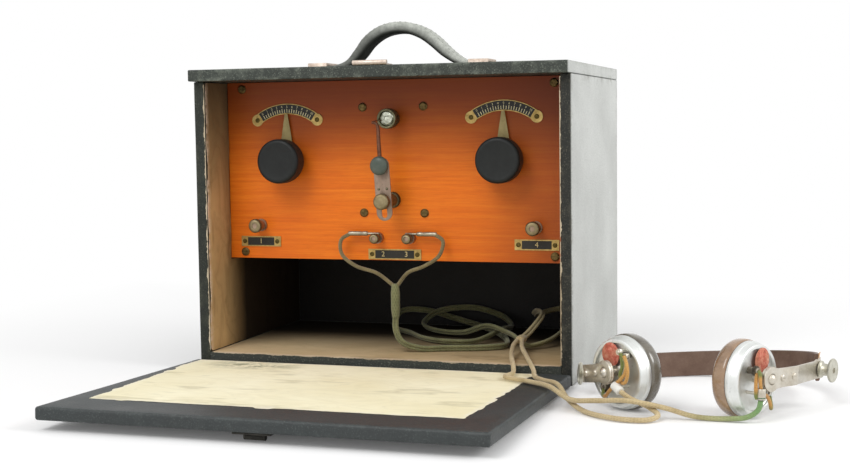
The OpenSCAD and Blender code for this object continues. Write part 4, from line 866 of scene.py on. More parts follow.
def make_linings():
    def in_the_open(p):
        return p.x < PANEL_FRONT - 0.6 or p.y < SHELF_LOW - 0.8
    for s in (-1, 1):
        place = axes((0, 1, 0), (0, 0, 1), (-s, 0, 0), (s * IN_X, 0, 0))
        lining(hand(s) + "_lining", (-103.4, 94), (16, 249), 3.6, place, side_paper, 3.2, 0.9,
               0.28, in_the_open)
    flat = axes((1, 0, 0), (0, 1, 0), (0, 0, 1), (0, 0, FLOOR_Z))
    lining("floor_lining", (-154.6, 154.6), (-103.8, 94), 4, flat, floor_paper, 1.0)
    back = axes((1, 0, 0), (0, 0, 1), (0, -1, 0), (0, BACK_Y, 0))
    # A near-black sheet of painted shade over the inside of the back board.
    lining("back_shade_sheet", (-154.6, 154.6), (16.2, 93), 6, back, painted_shade_cloth, 0.0, 0.2, 0.3)


def torn_rim(name, bm, thickness):
    bm.normal_update()
    bmesh.ops.solidify(bm, geom=bm.faces[:], thickness=thickness * MM)
    link_mesh(name, bm, torn_paper, "case")


def make_torn_rims():
    """Where the lining paper has torn off along the front edges, a pale ragged line."""
    for s in (-1, 1):
        bm = flat_grid(3, 150)
        for v in bm.verts:
            z = SIDE_RIM_Z + v.co.y * SIDE_RIM_HALF
            wide = max(0.1, 0.75 + 1.3 * noise.noise(Vector((s * 9, 0, z * 0.09)))
                       + 0.9 * noise.noise(Vector((s, 4, z * 0.45))))
            x = IN_X - 0.35 + (v.co.x + 1) / 2 * wide
            v.co = Vector((s * x, FRONT_Y - SIDE_RIM_OUT, z)) * MM
        torn_rim(hand(s) + "_torn_rim", bm, SIDE_RIM_T)
    bm = flat_grid(200, 3)
    for v in bm.verts:
        x = v.co.x * FLOOR_RIM_HALF
        wide = max(0.1, 0.5 + 1.1 * noise.noise(Vector((x * 0.07, 8, 0)))
                   + 0.8 * noise.noise(Vector((x * 0.4, 2, 0))))
        z = FLOOR_Z + PAPER_T - (1 - v.co.y) / 2 * wide
        v.co = Vector((x, FRONT_Y - FLOOR_RIM_OUT, z)) * MM
    torn_rim("floor_torn_rim", bm, FLOOR_RIM_T)


make_case()
make_linings()
make_torn_rims()


# Door

HINGE_Y, HINGE_Z, DOOR_TILT = -112.3, 2.5, 1.7
DOOR_LEN, DOOR_START, DOOR_UNDER, DOOR_FACE = 245, 2.6, -2, 8
TABS = (("left", -164.9, -128.4), ("middle", -81.6, 81.6), ("right", 128.4, 164.9))
TAB_Y, TAB_INSET = (-12, 2), 0.1
PAPER_CORNERS = ((-148, -205), (139, -205), (139.5, -2.9), (-162.4, -2.9))
PAPER_TEARS = ((-8, -203, 9), (-120, -203, 5), (-160, -60, 8), (139, -120, 6))
at_door = (Matrix.Translation(Vector((0, HINGE_Y, HINGE_Z)) * MM)
           @ Matrix.Rotation(math.radians(-DOOR_TILT), 4, "X"))


def make_door():
    """The covered door and its three tabs beside the hinges."""
    bm = covered_board((-HALF_W, -DOOR_LEN, DOOR_UNDER), (HALF_W, -DOOR_START, DOOR_FACE), 2.2,
                       wobble=0.3, place=at_door)
    link_mesh("door_panel", bm, door_cloth, "door", ("door_board",))
    for name, low, high in TABS:
        bm = covered_board((low, TAB_Y[0], DOOR_UNDER + TAB_INSET),
                           (high, TAB_Y[1], DOOR_FACE - TAB_INSET), 2, place=at_door)
        link_mesh("door_tab_" + name, bm, door_cloth, "door")


def make_door_lining():
    """Paper pasted inside the door, ragged all round, with a few deeper tears."""
    front_left, front_right, back_right, back_left = (Vector(p) for p in PAPER_CORNERS)
    bm = flat_grid(120, 84)
    edge = bm.verts.layers.float.new("edge")
    for v in bm.verts:
        s, t = (v.co.x + 1) / 2, (v.co.y + 1) / 2
        p = front_left.lerp(front_right, s).lerp(back_left.lerp(back_right, s), t)
        off_side, off_end = min(s, 1 - s), min(t, 1 - t)
        seed = Vector((p.x, p.y, 7)) * 0.02
        ragged = 3.2 * noise.noise(seed) + 1.6 * noise.noise(seed * 5) + noise.noise(seed * 19)
        side_tear = max(0.0, 2 + ragged) * max(0.0, 1 - off_side * 24)
        end_tear = max(0.0, 0.6 + 0.5 * ragged) * max(0.0, 1 - off_end * 24)
        p.x += (1 if s < 0.5 else -1) * side_tear
        p.y += (1 if t < 0.5 else -0.25) * end_tear
        for x, y, reach in PAPER_TEARS:
            away = Vector((p.x - x, p.y - y))
            if 0 < away.length < reach:
                p += (reach - away.length) * away.normalized() * 0.7
        v[edge] = max(0.0, 1 - min(off_side * 290, off_end * 198) / 6)
        lift = 0.03 + 0.09 * (0.5 + 0.5 * noise.noise(seed * 2))
        v.co = Vector((p.x, p.y, DOOR_FACE + lift)) * MM
    bmesh.ops.solidify(bm, geom=bm.faces[:], thickness=0.08 * MM)
    bmesh.ops.transform(bm, matrix=at_door, verts=bm.verts)
    link_mesh("door_lining", bm, door_paper_finish, "door", ("door_paper",))


make_door()
make_door_lining()

HANDLE_X, HANDLE_Y, STRAP_W, STRAP_T = -7.5, -12, 22, 4
STITCH_IN, STITCH_SIZE = 3.4, (2.6, 0.6, 0.5)
# X from the strap's middle, height of its centre line, thickness
STRAP_LINE = [
    (-109.5, 261.5, 4), (-90, 261.5, 4), (-72, 261.6, 4.2), (-60, 261.9, 4.6), (-47, 265.4, 7),
    (-37.5, 274.4, 9), (-29, 284.6, 9.8), (-17, 292.6, 10), (-4, 295.8, 10), (9, 295.2, 10),
    (22, 290.4, 10), (32.5, 283, 9.8), (42.5, 274, 9), (53, 266.6, 7), (63, 262.7, 5),
    (74, 261.6, 4.2), (92, 261.5, 4), (109.5, 261.5, 4),
]


def make_strap():
    """Carrying strap: flat ends and a padded grip that arches over them."""
    line = smooth_line([(HANDLE_X + x, HANDLE_Y, z) for x, z, _ in STRAP_LINE], 1.5 * MM)
    xs = [(HANDLE_X + x) * MM for x, _, _ in STRAP_LINE]
    thick = np.interp(line[:, 0], xs, [t for _, _, t in STRAP_LINE])
    rings = [flat_section((STRAP_W - 0.2 * max(0, t - STRAP_T)) * MM, t * MM,
                          min(3.4, t / 2.3) * MM, 5) for t in thick]
    strap = sweep(line, rings, (0, 1, 0))
    top = strap.verts.layers.float.new("edge")
    for v in strap.verts:
        i = min(len(line) - 2, max(1, int(np.abs(line[:, 0] - v.co.x).argmin())))
        way = Vector(line[i + 1] - line[i - 1]).normalized()
        height = (v.co - Vector(line[i])).dot(Vector((-way.z, 0, way.x))) / (thick[i] / 2 * MM)
        # Dust on the top, and painted light from the right: the strap grows paler toward its right
        # end.
        painted_right_light = (v.co.x / MM - HANDLE_X + 45) / 40
        top_dust_and_light = min(1.0, max(0.0, 0.85 + 1.3 * height))
        v[top] = top_dust_and_light * min(1.0, max(0.35, painted_right_light))
    link_mesh("carrying_strap", strap, strap_leather, "case",
              ("handle_strap",))
    make_stitches(line, thick)


def make_stitches(line, thick):
    """Two rows of stitches along the top of the strap."""
    stitches = bmesh.new()
    level = Vector((0, 1, 0))
    size = Matrix.Diagonal((*(side * MM for side in STITCH_SIZE), 1))
    for i in range(10, len(line) - 10, 3):
        way = Vector(line[i + 1] - line[i - 1]).normalized()
        up = way.cross(level)
        turn = Matrix((way, level, up)).transposed().to_4x4()
        for side in (-1, 1):
            at = (Vector(line[i]) + up * (thick[i] / 2 - 0.12) * MM
                  + Vector((0, side * (STRAP_W / 2 - STITCH_IN) * MM, 0)))
            bmesh.ops.create_icosphere(stitches, subdivisions=1, radius=0.5,
                                       matrix=Matrix.Translation(at) @ turn @ size)
    link_mesh("strap_stitches", stitches, stitch_thread, "case")


make_strap()


# Instruments on the panel

DIAL_X, DIAL_Z, SCALE_R, SCALE_IN_R, PLATE_T = 98, 180.3, 50, 41, 0.8
FIELD_ANGLE, NUMBER_ANGLE, KNOB_OUT = 33, 29.5, 3.2
SIDE_POST_X, SIDE_POST_Z, PHONE_POST_X, PHONE_POST_Z = 125, 123.5, 14.6, 113.5
NUT_BORE = 4.7
# A post's name, X, Z and distance out of the panel, and its nut's diameter and height
NUTS = (("ground", -SIDE_POST_X, SIDE_POST_Z, 10.1, 12.2, 5.6),
        ("aerial", SIDE_POST_X, SIDE_POST_Z, 10.1, 12.2, 5.6),
        ("left_phone", -PHONE_POST_X, PHONE_POST_Z, 7.6, 8.8, 6.4),
        ("right_phone", PHONE_POST_X, PHONE_POST_Z, 7.6, 8.8, 6.4))
POST_X, POST_Z, POST_OUT, STRIP_TILT, STRIP_UP, CUP_Z = -1, 146.2, 23, 3.5, 30.3, 215.9
INK_T, INK_LIFT, DIAL_NUMBER_H, PLATE_NUMBER_H, CAPITAL_SHARE = 0.05, 0.08, 2.0, 4.6, 0.72
PLATES = ((-SIDE_POST_X - 0.5, 109, 25.5, ((0, "1"),)),
          (SIDE_POST_X + 0.5, 109, 25.5, ((0, "4"),)),
          (0, 99.2, 35.5, ((-10.5, "2"), (10.5, "3"))))


def on_panel(x, z, out=0):
    """The place, in mm, of a piece on the panel: X right, Y up, Z toward the room."""
    return axes((1, 0, 0), (0, 0, 1), (0, -1, 0), (x, PANEL_FRONT - out, z))


def ring_sector(bm, inner, outer, half_angle, low, high):
    """A flat piece of ring round Z, centred on +Y, in mm."""
    first = turn_z(90 - half_angle)
    profile = [bm.verts.new(first @ (Vector((r, 0, z)) * MM))
               for r, z in ((inner, low), (outer, low), (outer, high), (inner, high))]
    edges = [bm.edges.new((profile[i], profile[(i + 1) % 4])) for i in range(4)]
    bmesh.ops.spin(bm, geom=profile + edges, cent=(0, 0, 0), axis=(0, 0, 1),
                   angle=math.radians(2 * half_angle), steps=ARC_STEPS)
    bmesh.ops.holes_fill(bm, edges=[e for e in bm.edges if e.is_boundary], sides=4)


def bar(bm, width, length, height, place):
    """A small raised bar, in mm, with its lower face on its place."""
    size = Matrix.Diagonal((width, length, height, 1))
    lifted = Matrix.Translation((0, 0, height / 2)) @ size
    made = place @ lifted
    corners = bmesh.ops.create_cube(bm, size=1, matrix=made)["verts"]
    for v in corners:
        v.co *= MM


def numeral(bm, text, height, place):
    """A plain number of a height in mm, as thin as ink, on its place."""
    curve = bpy.data.curves.new("numeral", "FONT")
    curve.body, curve.size, curve.extrude = text, height / CAPITAL_SHARE, INK_T / 2
    curve.align_x, curve.align_y = "CENTER", "CENTER"
    made = bpy.data.objects.new("numeral", curve)
    bpy.context.scene.collection.objects.link(made)
    bpy.context.view_layer.update()
    ready = made.evaluated_get(bpy.context.evaluated_depsgraph_get())
    before = len(bm.verts)
    bm.from_mesh(ready.to_mesh())
    ready.to_mesh_clear()
    bm.verts.ensure_lookup_table()
    for v in bm.verts[before:]:
        v.co = (place @ v.co) * MM
    bpy.data.objects.remove(made)
    bpy.data.curves.remove(curve)


def make_dial(side):
    """Black field of an arc scale with its ticks and its numbers from 0 to 10."""
    place = on_panel(side * DIAL_X, DIAL_Z, PLATE_T)
    bm = bmesh.new()
    ring_sector(bm, SCALE_IN_R + 0.7, SCALE_R - 0.7, FIELD_ANGLE, 0, INK_T)
    link_mesh(hand(side) + "_dial_field", placed(bm, place), scale_black, "case")
    bm = bmesh.new()
    for k in range(21):
        turn = place @ turn_z(NUMBER_ANGLE - k * NUMBER_ANGLE / 10)
        long = 3.5 if k % 2 == 0 else 2.8
        bar(bm, 0.62, long, 0.12, turn @ Matrix.Translation((0, SCALE_IN_R + 1.1 + long / 2, 0)))
    for k in range(11):
        turn = place @ turn_z(NUMBER_ANGLE - k * NUMBER_ANGLE / 5)
        spot = turn @ Matrix.Translation((0, SCALE_R - 2.7, INK_LIFT))
        numeral(bm, str(k), DIAL_NUMBER_H, spot)
    link_mesh(hand(side) + "_dial_marks", bm, mark_cream, "case", smooth=False)


def make_plate_fields():
    """Dark fields on the three name plates, with plain numbers for the four posts."""
    fields, marks = bmesh.new(), bmesh.new()
    for x, z, width, numbers in PLATES:
        place = on_panel(x, z, PLATE_T)
        bar(fields, width, 7, INK_T, place)
        for off, text in numbers:
            numeral(marks, text, PLATE_NUMBER_H, place @ Matrix.Translation((off, 0, INK_LIFT)))
    link_mesh("plate_fields", fields, plate_dark, "case", smooth=False)
    link_mesh("plate_numbers", marks, mark_brass, "case", smooth=False)


def make_knob(side):
    """A tuning knob, ribbed round its rim."""
    outline = [(0, 0), (15.4, 0), (18.2, 4.6), (19, 7.2), (19.2, 8.4), (19.2, 19), (18.9, 20.2),
               (18.1, 21.1), (17.1, 21.6), (16.2, 21.75), (15.2, 21.6), (14.4, 21.45),
               (6, 21.3), (0, 21.3)]
    lathed(hand(side) + "_tuning_knob", outline, 96, on_panel(side * DIAL_X, DIAL_Z, KNOB_OUT),
           knob_black, hand(side) + "_tuner", (hand(side) + "_knob",), 18.95)


def nut_outline(width, height, bore):
    """A nut with rounded rims about a bore, as (radius, height) points."""
    r, b = width / 2, bore / 2
    return [(b, 0), (r - 1.3, 0), (r - 0.4, 0.5), (r, 1.1), (r, height - 1.7),
            (r - 0.4, height - 0.9), (r - 1.3, height - 0.3), (r - 2.4, height), (b, height),
            (b, 0)]


def make_nuts():
    """The knurled nuts of the four binding posts."""
    for post, x, z, out, width, height in NUTS:
        lathed(f"knurled_{post}_nut", nut_outline(width, height, NUT_BORE), 64,
               on_panel(x, z, out), nut_nickel, post + "_clamp", (post + "_nut",),
               width / 2 - 0.5)


CRYSTAL_R, RIVET_X, RIVET_UP = 6.25, 3.6, 10.6
WHISKER_ROD = [(0, 3, 2.9), (0, 18, 2.9), (0.1, 33, 2.9), (-0.9, 35.4, 2.7), (-3.6, 36.4, 2.4)]
WHISKER_TIP = [(-2.9, 36.4, 2.3), (-2.6, 37.6, 1.2), (-1, 38.2, -1), (0.8, 38.3, -3),
               (1.8, 38.1, -5.3)]


def make_crystal():
    """The knurled cup on the panel with a lump of crystal in it."""
    cup = [(0, -10), (2, -10), (2, 0), (6.3, 0), (6.3, 5.6), (6.8, 6.4), (7.9, 7.8), (8.5, 8.6),
           (8.5, 13.4), (8.2, 13.8), (8.5, 14.2), (8.5, 17), (8.2, 17.7), (7.6, 18),
           (6.9, 17.8), (6.5, 17.2), (6.5, 13), (0, 13)]
    lathed("knurled_cup", cup, 72, on_panel(0, CUP_Z), cup_nickel, "case",
           ("crystal_cup",), 8.35)
    bm = bmesh.new()
    bmesh.ops.create_icosphere(bm, subdivisions=3, radius=1)
    for v in bm.verts:
        lump = 1 + 0.22 * noise.noise(v.co * 1.7) + 0.16 * noise.noise(v.co * 4.1)
        p = Vector((v.co.x * 6.2, v.co.y * 6.2, v.co.z * 2.5)) * lump
        reach = min(1.0, CRYSTAL_R / max(0.01, math.hypot(p.x, p.y)))
        v.co = Vector((p.x * reach, p.y * reach, min(17.35, max(13.1, 14.5 + p.z)))) * MM
    link_mesh("crystal_lump", placed(bm, on_panel(0, CUP_Z)), crystal_grey, "case",
              ("crystal",), smooth=False)


def make_detector_post(strip):
    """The post with the spring strip on it and the thumb nut that holds the strip."""
    post = [(0, -10), (2, -10), (2, 0), (7, 0), (7, 2.2), (6.5, 3), (5.6, 3.5), (5.5, 19.5),
            (6.1, 20.6), (6.5, 21.2), (6.5, 22.6), (6.1, POST_OUT), (1.95, POST_OUT),
            (1.95, 32), (0, 32)]
    lathed("turned_post", post, 64, on_panel(POST_X, POST_Z), cup_nickel, "case",
           ("detector_post",), 6.4)
    nut = [(2.05, 1.3), (4.6, 1.3), (4.8, 2.8), (6.1, 3.5), (6.75, 4.2), (6.75, 8.2),
           (6.4, 9.2), (5.4, 9.9), (4.4, 10.1), (2.05, 10.1), (2.05, 1.3)]
    lathed("thumb_nut", nut, 72, strip, nut_nickel, "detector_clamp",
           ("detector_nut",), 6.6)
    button = [(0, 9.4), (3, 9.4), (3.4, 9.8), (3.1, 10.25), (1.6, 10.45), (0, 10.5)]
    lathed("thumb_nut_button", button, 40, strip, nut_nickel, "detector_clamp")
    eased("detector_strip", 0.25, strip_nickel, "detector_arm")
    rivets = bmesh.new()
    for x in (-RIVET_X, RIVET_X):
        dome = bmesh.ops.create_icosphere(rivets, subdivisions=2, radius=1.1)["verts"]
        for v in dome:
            v.co = (v.co + Vector((x, RIVET_UP, 1.2))) * MM
    link_mesh("strip_rivets", placed(rivets, strip), cup_nickel, "detector_arm")


def make_whisker(knob):
    """The green knob, its rod, the bead that ends the rod and the fine bent tip."""
    dome = [(0, -3), (3.7, -3), (3.7, -0.1), (2.5, -0.1), (2.5, 1.3), (4.2, 1.3), (4.3, 4),
            (5.6, 4.5), (7.5, 4.8), (8, 5.4), (8, 6.6), (7.7, 7.5), (6.9, 8.4), (5.6, 9.1),
            (3.8, 9.6), (1.8, 9.7), (0, 9.7)]
    lathed("whisker_knob", dome, 64, knob, whisker_green, "whisker_holder",
           ("whisker",))
    bead = bmesh.new()
    bmesh.ops.create_icosphere(bead, subdivisions=3, radius=1.35 * MM,
                               matrix=Matrix.Translation(Vector((-4, 36.6, 2.4)) * MM))
    link_mesh("whisker_bead", placed(bead, knob), rod_copper, "whisker_holder")
    for name, points, width, taper in (("whisker_rod", WHISKER_ROD, 3.6, 0.35),
                                       ("whisker_tip", WHISKER_TIP, 0.9, 0.6)):
        line = smooth_line([knob @ Vector(p) for p in points], 0.5 * MM)
        last = len(line) - 1
        rings = [round_section(width / 2 * MM * (1 - taper * (i / last) ** 2), 14)
                 for i in range(last + 1)]
        link_mesh(name, sweep(line, rings, (1, 0, 0)), rod_copper, "whisker_holder",
                  ("whisker",))


for side in (-1, 1):
    make_dial(side)
    make_knob(side)
make_plate_fields()
make_nuts()
make_crystal()
on_strip = (on_panel(POST_X, POST_Z) @ turn_z(STRIP_TILT)
            @ Matrix.Translation((0, 0, POST_OUT + 0.1)))
make_detector_post(on_strip)
make_whisker(on_strip @ Matrix.Translation((0, STRIP_UP, 0)))


# Headset

BAND_CENTRE = Vector((273, -114, 20.7))
BAND_R, BAND_H, BAND_T, BAND_LEG = 80.5, 20, 3, 12
at_band = (Matrix.Translation(BAND_CENTRE * MM) @ Matrix.Rotation(math.radians(-3.45), 4, "Y")
           @ Matrix.Rotation(math.radians(-6.5), 4, "X"))
CUP_FACE, TERMINAL_FOOT = 10.15, 12.4
# Ball, turn in degrees and stud are in the case's frame, the rest in the earpiece's own, from
# its ball. A terminal is its distance out, Y, Z, radius and finish.
EARS = {
    "left": {"ball": (208.8, -199.3, 30), "faces": 54.4, "stud": (188.006, -140.34, 17.375),
             "stud_axis": (-1, 0, 0), "label": (5.4, 11.4), "ferrule": (1.2, -13.5, -12),
             "plastic": grey_cap,
             "terminals": ((5.5, -7.3, 15, 2.5, headset_nickel),
                           (6.5, -12.5, 12.5, 2.3, dark_terminal),
                           (7.5, 10, -13, 4.4, dark_terminal)),
             "leads": (((1.4, -7, -8.2), (2.6, -11, -5), (3.6, -16, 1), (4.6, -16, 7),
                        (6, -12, 11), (6.4, -8.5, 14)),
                       ((1.2, -7.4, -8.6), (1, -3, -13), (2.6, 3, -18), (5.4, 8.4, -18.4),
                        (8.2, 10.4, -14.6)),
                      ((6.2, -12.5, 12.5), (4.6, -16.6, 8), (3.6, -18.6, 1), (4, -15.8, -5.6),
                       (4.6, -11.6, -6.4), (4.6, -10, -1), (5.4, -11.4, 5), (6.8, -9, 12)))},
    "right": {"ball": (324.6, -198.4, 30), "faces": 151, "stud": (355.953, -136.288, 27.557),
              "stud_axis": (0.93169, -0.36325, 0), "label": (-5.4, 11.6),
              "ferrule": (0.9, 10.2, -13), "plastic": brown_cap,
              "terminals": ((4.5, 8, 6, 3.6, dark_terminal), (7.5, -10, -12, 3.2, dark_terminal)),
              "leads": (((0.9, 10.4, -6), (0.6, 11.6, -1), (1.4, 10.6, 4), (3.6, 8.6, 6)),
                        ((0.6, 9.6, -6), (1, 7.6, -9.4), (1.4, 2, -12), (2, -2.6, -17),
                         (3, -5.6, -22), (4.6, -8.4, -21), (7, -10, -14.4)),
                        ((5.4, 8, 5), (3.4, 12.4, 1), (2.6, 14, -6), (3, 12.6, -12),
                         (2.2, 10.6, -8)))},
}


def make_band():
    """The leather headband, an arc with two straight legs, and a torn flap on its side."""
    angles = np.linspace(0, math.pi, 120)
    arc = [(BAND_R * math.cos(a), BAND_R * math.sin(a), 0) for a in angles]
    legs = [(0, -BAND_LEG * k / 6, 0) for k in range(6, 0, -1)]
    line = ([(BAND_R, y, 0) for _, y, _ in legs] + arc
            + [(-BAND_R, y, 0) for _, y, _ in reversed(legs)])
    line = np.array([at_band @ (Vector(p) * MM) for p in line])
    section = flat_section(BAND_H * MM, BAND_T * MM, 0.9 * MM)
    bm = sweep(line, [section] * len(line), at_band.to_3x3() @ Vector((0, 0, 1)))
    link_mesh("leather_band", bm, band_leather, "headset", ("headband",))
    flap = flat_grid(14, 8)
    for v in flap.verts:
        y, z = -4.5 + v.co.x * 8, 7.4 + v.co.y * 2.6
        curl = 0.5 + 0.5 * noise.noise(Vector((y, z, 3)) * 0.4)
        v.co = at_band @ (Vector((BAND_R + 1.7 + 1.3 * curl * (v.co.y + 1) / 2,
                                  y + noise.noise(Vector((z, y, 1)) * 0.6), z + curl)) * MM)
    flap.normal_update()
    bmesh.ops.solidify(flap, geom=flap.faces[:], thickness=0.4 * MM)
    link_mesh("torn_flap", flap, torn_leather, "headset")


def make_ear_shells(name, body, at_ear):
    """The metal cup and the moulded cap, both turned about the earpiece's own X."""
    on_cup = at_ear @ Matrix.Translation((0, 0, -2)) @ Matrix.Rotation(math.pi / 2, 4, "Y")
    cup = [(0, 12.5), (21.4, 12.5), (21.9, 12.1), (22, 11), (22.4, 10.6), (24.4, 10.5),
           (25, 10.9), (25.5, 12.6), (26.3, 15.4), (26.6, 15.5), (26.9, 16.4), (27.1, 19),
           (26.9, 19.5), (25.7, 19.5), (24, 14.1), (0, 14.1)]
    lathed(name + "_metal_cup", cup, 96, on_cup, cup_aluminium, body,
           (name + "_cup",))
    cap = [(24, 19.8), (26.8, 19.8), (27.5, 20.4), (27.9, 21.6), (28, 23.2), (28, 25.4),
           (27.8, 27.2), (27.2, 28.9), (26.2, 30.4), (24.8, 31.5), (23.2, 32.2), (21.6, 32.2),
           (19.6, 31.7), (9.4, 28.8), (8, 28.3), (7.2, 27.6), (7, 26.8), (7, 25.9), (22, 28.3),
           (24, 25.8), (24, 19.8)]
    lathed(name + "_ear_cap", cap, 96, on_cup, EARS[name]["plastic"], body,
           (name + "_cap",))


def make_ear_leads(name, body, at_ear):
    """Braided wires between the terminals, each green for a part of its run."""
    for i, route in enumerate(EARS[name]["leads"]):
        line = smooth_line([at_ear @ Vector(p) for p in route], 0.7 * MM)
        run = line_length(line) / MM
        finish = braid(f"{name}_lead_{i}", srgb(216, 168, 92), srgb(186, 128, 60),
                       (run * 0.55, run * 0.7, srgb(110, 128, 62)), 3, 8)
        rings = [round_section(1.35 * MM)] * len(line)
        link_mesh(f"{name}_ear_lead_{i}", sweep(line, rings, (1, 0, 0)), finish, body)


def make_ferrule(name, body, at_ear):
    """Where a branch of the cord ends: a white sleeve on the left, metal and a green boot
    on the right."""
    spot = at_ear @ Matrix.Translation(EARS[name]["ferrule"])
    if name == "left":
        lean = spot @ turn_z(90)
        lean = lean @ Matrix.Rotation(math.radians(60), 4, "Y")
        sleeve = [(0, -0.6), (2.6, -0.6), (3.2, -0.2), (3.3, 0.6), (3.3, 6.6), (3, 7.6),
                  (2.4, 8), (0, 8)]
        lathed("left_ferrule", sleeve, 32, lean, ferrule_white, body)
        return
    sleeve = [(0, 1.6), (3.2, 1.6), (3.3, 2.2), (3.3, 6.8), (3, 7.6), (0, 7.6)]
    lathed("right_ferrule", sleeve, 32, spot, headset_nickel, body)
    boot = [(0, -0.4), (2.5, -0.4), (2.9, 0.2), (3.15, 1.6), (3.2, 2.6), (0, 2.6)]
    boot_green = braid("boot_green", srgb(96, 150, 92), srgb(62, 112, 66))
    lathed("right_boot", boot, 32, spot, boot_green, body)


def make_earpiece(name):
    """Cup, cap, label, terminals, leads and ferrule of an earpiece."""
    ear, body = EARS[name], name + "_earpiece"
    at_ear = Matrix.Translation(Vector(ear["ball"])) @ turn_z(ear["faces"])
    facing_x = axes((0, 1, 0), (0, 0, 1), (1, 0, 0))
    make_ear_shells(name, body, at_ear)
    label = [(0, 0), (8.6, 0), (8.8, 0.12), (8.6, 0.24), (0, 0.24)]
    face = at_ear @ Matrix.Translation((CUP_FACE, *ear["label"])) @ facing_x
    lathed(name + "_label", label, 48, face, label_red, body)
    for i, (out, y, z, r, finish) in enumerate(ear["terminals"]):
        foot = TERMINAL_FOOT - out
        outline = [(0, -0.6), (0.9, -0.5), (1.3, 0), (1.3, 0.6), (r * 0.8, 0.8), (r, 1.2),
                   (r, 3), (r * 0.9, 3.4), (r * 0.7, 3.6), (r * 0.7, foot), (0, foot)]
        spot = at_ear @ Matrix.Translation((out, y, z)) @ facing_x
        lathed(f"{name}_terminal_{i}", outline, 40, spot, finish, body,
               grip_from=r * 0.93)
    make_ear_leads(name, body, at_ear)
    make_ferrule(name, body, at_ear)


def make_arm_nut(name):
    """The thumb nut that clamps an arm to the headband."""
    ear = EARS[name]
    place = stand(ear["stud"], ear["stud_axis"])
    nut = [(2.05, 0.2), (5.6, 0.2), (6.2, 0.6), (6.25, 1.3), (5, 1.8), (4.5, 2.6), (4.4, 5.6),
           (4.9, 7), (6.6, 8), (8.3, 8.6), (8.75, 9), (8.75, 9.9), (8.4, 10.4), (7, 10.6),
           (2.05, 10.6), (2.05, 0.2)]
    lathed(name + "_thumb_nut", nut, 72, place, clamp_nickel, name + "_arm_clamp",
           (name + "_arm_nut",), 8.6)


make_band()
for name in EARS:
    make_earpiece(name)
    make_arm_nut(name)
    eased(name + "_arm", 0.3, headset_nickel, name + "_swing_arm")
eased("band_clips", 0.25, headset_nickel, "headset")
eased("strike_plate", 0.3, strike_metal, "case")
eased("handle_keepers", 0.4, strike_metal, "case")


# Finishes of the pieces that stay as they are

CAD_FINISHES = {
    "case_bottom": case_cloth, "panel_frame": frame_wood, "front_panel": panel_finish,
    "panel_screws": screw_brass, "case_hinges": dull_steel, "panel_plates": scale_brass,
    "panel_pins": pin_brass, "shaft_bushes": dull_steel, "coil_former": coil_fibre,
    "coil_winding": coil_copper, "binding_posts": post_nickel, "wiring": coil_fibre,
    "left_pointer": pointer_metal, "right_pointer": pointer_metal, "left_shaft": dull_steel,
    "right_shaft": dull_steel, "door_hinge_leaves": dull_steel, "catch_plate": catch_iron,
    "catch_hook": catch_iron, "left_motor": magnet_iron, "right_motor": magnet_iron,
    "left_fittings": headset_nickel, "right_fittings": headset_nickel,
}
for node, finish in CAD_FINISHES.items():
    mesh = nodes[node].data
    mesh.materials.clear()
    mesh.materials.append(finish)


# Floor, backdrop and light

STAGE_X, STAGE_Y = (0.1, 0.27), (-0.125, 0.23)
STAGE_SIZE = 14
WORLD_LIGHT, WORLD_SEEN = 0.62, 1.0


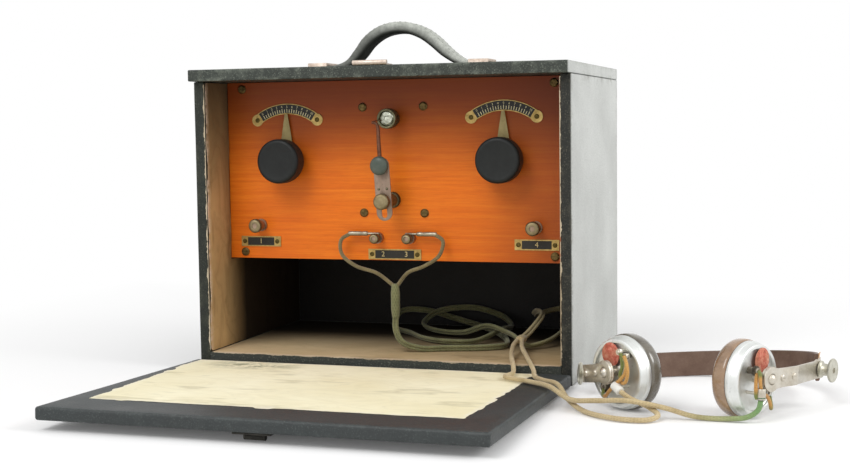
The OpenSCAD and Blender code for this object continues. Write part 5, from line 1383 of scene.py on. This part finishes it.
def make_stage():
    """A floor that shows shadows near the radio and turns into plain white away from it."""
    f = Finish("floor_white")
    seen = f.tree.nodes.new("ShaderNodeLightPath")
    reach = []
    for letter, (middle, half) in (("X", STAGE_X), ("Y", STAGE_Y)):
        off = f.math("ABSOLUTE", f.math("SUBTRACT", f.axis(letter), middle))
        reach.append(f.math("SUBTRACT", off, half))
    far = f.run(f.math("MAXIMUM", *reach), -0.03, 0.42, low=0.08)
    direct = f.math("MAXIMUM", seen.outputs["Is Camera Ray"],
                    f.math("MAXIMUM", seen.outputs["Is Glossy Ray"],
                           seen.outputs["Is Transmission Ray"]))
    white = f.node("Emission", {"Color": (1.0, 1.0, 1.0), "Strength": 1.0})
    f.put(f.shader.inputs["Base Color"], (0.96, 0.96, 0.96))
    f.put(f.shader.inputs["Roughness"], 0.9)
    blended = f.tree.nodes.new("ShaderNodeMixShader")
    f.put(blended.inputs[0], f.math("MULTIPLY", far, direct))
    f.put(blended.inputs[1], f.shader.outputs[0])
    f.put(blended.inputs[2], white)
    f.put(f.tree.nodes["Material Output"].inputs["Surface"], blended.outputs[0])
    bm = bmesh.new()
    bmesh.ops.create_grid(bm, x_segments=1, y_segments=1, size=STAGE_SIZE)
    mesh = bpy.data.meshes.new("floor")
    bm.to_mesh(mesh)
    bm.free()
    mesh.materials.append(f.material)
    floor = bpy.data.objects.new("floor", mesh)
    bpy.context.scene.collection.objects.link(floor)


def make_lamp(name, place, target, size, power):
    """A round soft lamp that points at a target."""
    data = bpy.data.lights.new(name, "AREA")
    data.shape, data.size, data.energy = "DISK", size, power
    lamp = bpy.data.objects.new(name, data)
    lamp.location = place
    way = Vector(target) - Vector(place)
    lamp.rotation_euler = way.to_track_quat("-Z", "Y").to_euler()
    bpy.context.scene.collection.objects.link(lamp)


def make_light():
    """Even white light all round, white where the camera sees it, and two soft lamps."""
    world = bpy.data.worlds.new("studio")
    bpy.context.scene.world = world
    world.use_nodes = True
    tree = world.node_tree
    back = tree.nodes["Background"]
    rays = tree.nodes.new("ShaderNodeLightPath")
    share = tree.nodes.new("ShaderNodeMath")
    share.operation = "MAXIMUM"
    tree.links.new(rays.outputs["Is Camera Ray"], share.inputs[0])
    tree.links.new(rays.outputs["Is Glossy Ray"], share.inputs[1])
    strength = tree.nodes.new("ShaderNodeMapRange")
    strength.inputs["To Min"].default_value = WORLD_LIGHT
    strength.inputs["To Max"].default_value = WORLD_SEEN
    tree.links.new(share.outputs[0], strength.inputs["Value"])
    tree.links.new(strength.outputs[0], back.inputs["Strength"])
    back.inputs["Color"].default_value = (1, 1, 1, 1)
    make_lamp("key", (-0.5, -1.6, 1.7), (0, -0.1, 0.1), 1.2, 22)
    make_lamp("side", (2.0, -0.3, 1.3), (0.1, 0, 0.1), 1.0, 20)
    bpy.context.scene.view_settings.view_transform = "Standard"


make_stage()
make_light()
